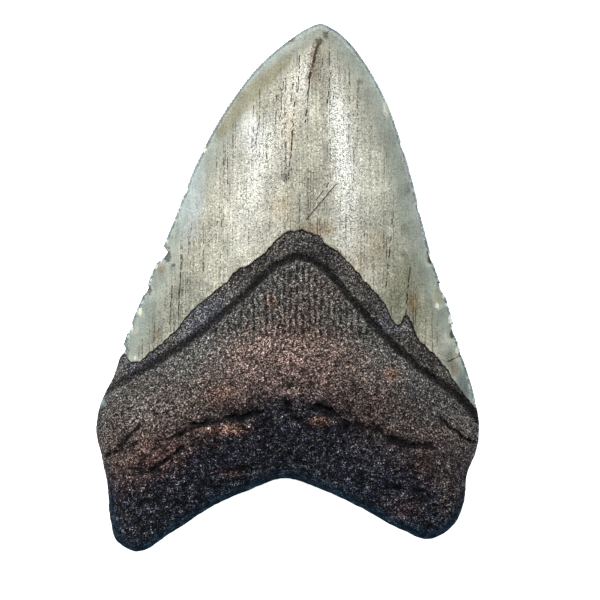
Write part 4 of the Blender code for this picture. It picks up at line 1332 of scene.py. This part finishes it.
def tooth_material(name):
    """Enamel above its lower edge, root below the groove, and the bourlette between them."""
    material = bpy.data.materials.new(name)
    material.use_nodes = True
    tree = Tree(material.node_tree)
    shader = material.node_tree.nodes["Principled BSDF"]
    groups = {
        "fibres": fibres_group(), "specks": specks_group(),
        "hairline": hairline_group(), "patch": patch_group(),
    }
    whole = tree.add("TexCoord").outputs["Object"]
    place = {"position": tree.vector("SCALE", whole, Scale=1 / MM)}
    place["flat"] = tree.vector("MULTIPLY", place["position"], (1.0, 1.0, 0.0))
    parts = tree.add("SeparateXYZ", {"Vector": place["position"]}).outputs
    place["across"], place["up"] = parts["X"], parts["Y"]
    for mask in MASKS:
        place[mask] = tree.attribute(mask)

    enamel = enamel_finish(tree, groups, place)
    bourlette = bourlette_finish(tree, groups, place)
    root = root_finish(tree, groups, place)
    crumbs = tree.centred(place["position"], ENAMEL_CRUMB_SIZE, 3.0, 0.6)
    line = tree.plus(crumbs, ENAMEL_CRUMBS, place["below_enamel"])
    bare = tree.span(line, *ENAMEL_EDGE)
    past_groove = tree.span(place["below_groove"], *ROOT_FROM_GROOVE)

    colour = tree.mix(past_groove, bourlette[0], root[0])
    # Painted shade in the groove, fainter at its left end.
    from_groove = tree.maths("ABSOLUTE", tree.plus(crumbs, 1.0, place["below_groove"]))
    deep = tree.times(tree.span(from_groove, *GROOVE_DARK), place["lingual"])
    deep = tree.times(deep, tree.span(place["across"], *GROOVE_ACROSS))
    colour = tree.lay(colour, deep, GROOVE_SHARE, GROOVE_SHADE_TONE)
    colour = shaded(tree, colour, tree.times(deep, GROOVE_LIGHT))
    # A painted sheen: a grey veil added over the bourlette's and root's colour.
    colour = tree.mix(1.0, colour, PAINTED_SHEEN_TONE, "ADD")
    colour = tree.mix(bare, enamel[0], colour)
    # A painted shadow just below the enamel's lower edge, in the cracks' tone.
    from_line = tree.maths("ABSOLUTE", tree.maths("SUBTRACT", line, ENAMEL_LIP_SHADOW_BELOW))
    colour = tree.lay(colour, tree.span(from_line, *ENAMEL_LIP_SHADOW), ENAMEL_LIP_SHADOW_SHARE, CRACK_AND_LIP_SHADOW_TONE)
    tree.put(shader.inputs["Base Color"], colour)

    roughness = tree.mix_values(past_groove, bourlette[1], root[1])
    tree.put(shader.inputs["Roughness"], tree.mix_values(bare, enamel[1], roughness))
    shader.inputs["Specular IOR Level"].default_value = 0.0
    shader.inputs["Coat IOR"].default_value = GLOSS_INDEX
    shader.inputs["Coat Roughness"].default_value = GLOSS_ROUGHNESS
    tree.put(shader.inputs["Coat Weight"], tree.mix_values(bare, enamel[3], 0.0))
    height = tree.mix_values(past_groove, bourlette[2], root[2])
    height = tree.mix_values(bare, enamel[2], height)
    bump = tree.add("Bump", {"Strength": 1.0, "Distance": MM, "Height": height})
    tree.put(shader.inputs["Normal"], bump.outputs["Normal"])
    return material


# ---- Setting ----

FLOOR_SIDE = 10.0
WALL_HEIGHT = 0.15
FRAME_WIDTH = 0.1364  # across the picture, at the height of the tooth's rim
FRAME_CENTRE = (0.0028, -0.0029, 0.006)
LENS, SENSOR = 400.0, 36.0
CAMERA_SEES = (0.1, 60.0)
FLOOR_TONE, FLOOR_ROUGHNESS, FLOOR_GLOW = (0.9, 0.9, 0.9), 0.9, 1.1
SKY_TONE, SKY_STRENGTH = (0.86, 0.93, 1.0, 1), 0.1
# Each light: azimuth, elevation, reach, size, power and colour. Azimuth 0 is over the base of
# the root, and 90 on the right.
LIGHTS = {
    "left_strip": (256, 40.5, 0.9, (0.5, 0.17), 5.2, (0.94, 0.98, 1.0)),
    "right_strip": (110, 43.5, 0.9, (0.4, 0.12), 3.9, (0.94, 0.98, 1.0)),
    "top_light": (205, 48, 1.0, (0.6, 0.4), 5.0, (1.0, 1.0, 0.99)),
}


def plain_material(name, colour, roughness, glow):
    material = bpy.data.materials.new(name)
    material.use_nodes = True
    shader = material.node_tree.nodes["Principled BSDF"]
    shader.inputs["Base Color"].default_value = (*colour, 1)
    shader.inputs["Roughness"].default_value = roughness
    shader.inputs["Specular IOR Level"].default_value = 0.0
    shader.inputs["Emission Color"].default_value = (*colour, 1)
    shader.inputs["Emission Strength"].default_value = glow
    return material


def floor():
    """A pale floor with low walls around it, of the same material."""
    mesh = bpy.data.meshes.new("floor")
    half = FLOOR_SIDE / 2
    corners = [(-half, -half), (half, -half), (half, half), (-half, half)]
    points = [(x, y, z) for z in (0, WALL_HEIGHT) for x, y in corners]
    walls = [(side, side + 4, (side + 1) % 4 + 4, (side + 1) % 4) for side in range(4)]
    mesh.from_pydata(points, [], [(0, 1, 2, 3)] + walls)
    mesh.materials.append(plain_material("pale_floor", FLOOR_TONE, FLOOR_ROUGHNESS, FLOOR_GLOW))
    piece = bpy.data.objects.new("floor", mesh)
    bpy.context.scene.collection.objects.link(piece)


def softbox(name, azimuth, elevation, reach, size, power, colour):
    """A soft light that faces the tooth."""
    light = bpy.data.lights.new(name, "AREA")
    light.shape = "RECTANGLE"
    light.size, light.size_y = size
    light.energy = power
    light.color = colour
    lamp = bpy.data.objects.new(name, light)
    a, e = math.radians(azimuth), math.radians(elevation)
    towards = Vector((math.sin(a) * math.cos(e), -math.cos(a) * math.cos(e), math.sin(e)))
    lamp.location = towards * reach
    lamp.rotation_euler = towards.to_track_quat("Z", "Y").to_euler()
    bpy.context.scene.collection.objects.link(lamp)


def studio():
    scene = bpy.context.scene
    scene.world = bpy.data.worlds.new("studio")
    scene.world.use_nodes = True
    backdrop = scene.world.node_tree.nodes["Background"]
    backdrop.inputs["Color"].default_value = SKY_TONE
    backdrop.inputs["Strength"].default_value = SKY_STRENGTH
    scene.view_settings.view_transform = "Standard"
    for name, light in LIGHTS.items():
        softbox(name, *light)


def camera():
    """Looks straight down on the tooth, with its tip at the top of the picture."""
    lens = bpy.data.cameras.new("camera")
    lens.lens = LENS
    lens.sensor_width = SENSOR
    lens.clip_start, lens.clip_end = CAMERA_SEES
    piece = bpy.data.objects.new("camera", lens)
    piece.location = Vector(FRAME_CENTRE) + Vector((0, 0, FRAME_WIDTH * LENS / SENSOR))
    bpy.context.scene.collection.objects.link(piece)
    bpy.context.scene.camera = piece


# ---- The tooth ----

def tooth():
    piece = bpy.data.objects.new("fossil_tooth_surface", tooth_mesh("fossil_tooth_surface"))
    bpy.context.scene.collection.objects.link(piece)
    piece = thinned(piece, TRIANGLES_KEPT)
    fitted(piece.data)
    piece.data.shade_smooth()
    piece.data.materials.append(tooth_material("fossil_tooth"))
    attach(piece, "root")
    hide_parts("tooth")


tooth()
floor()
studio()
camera()
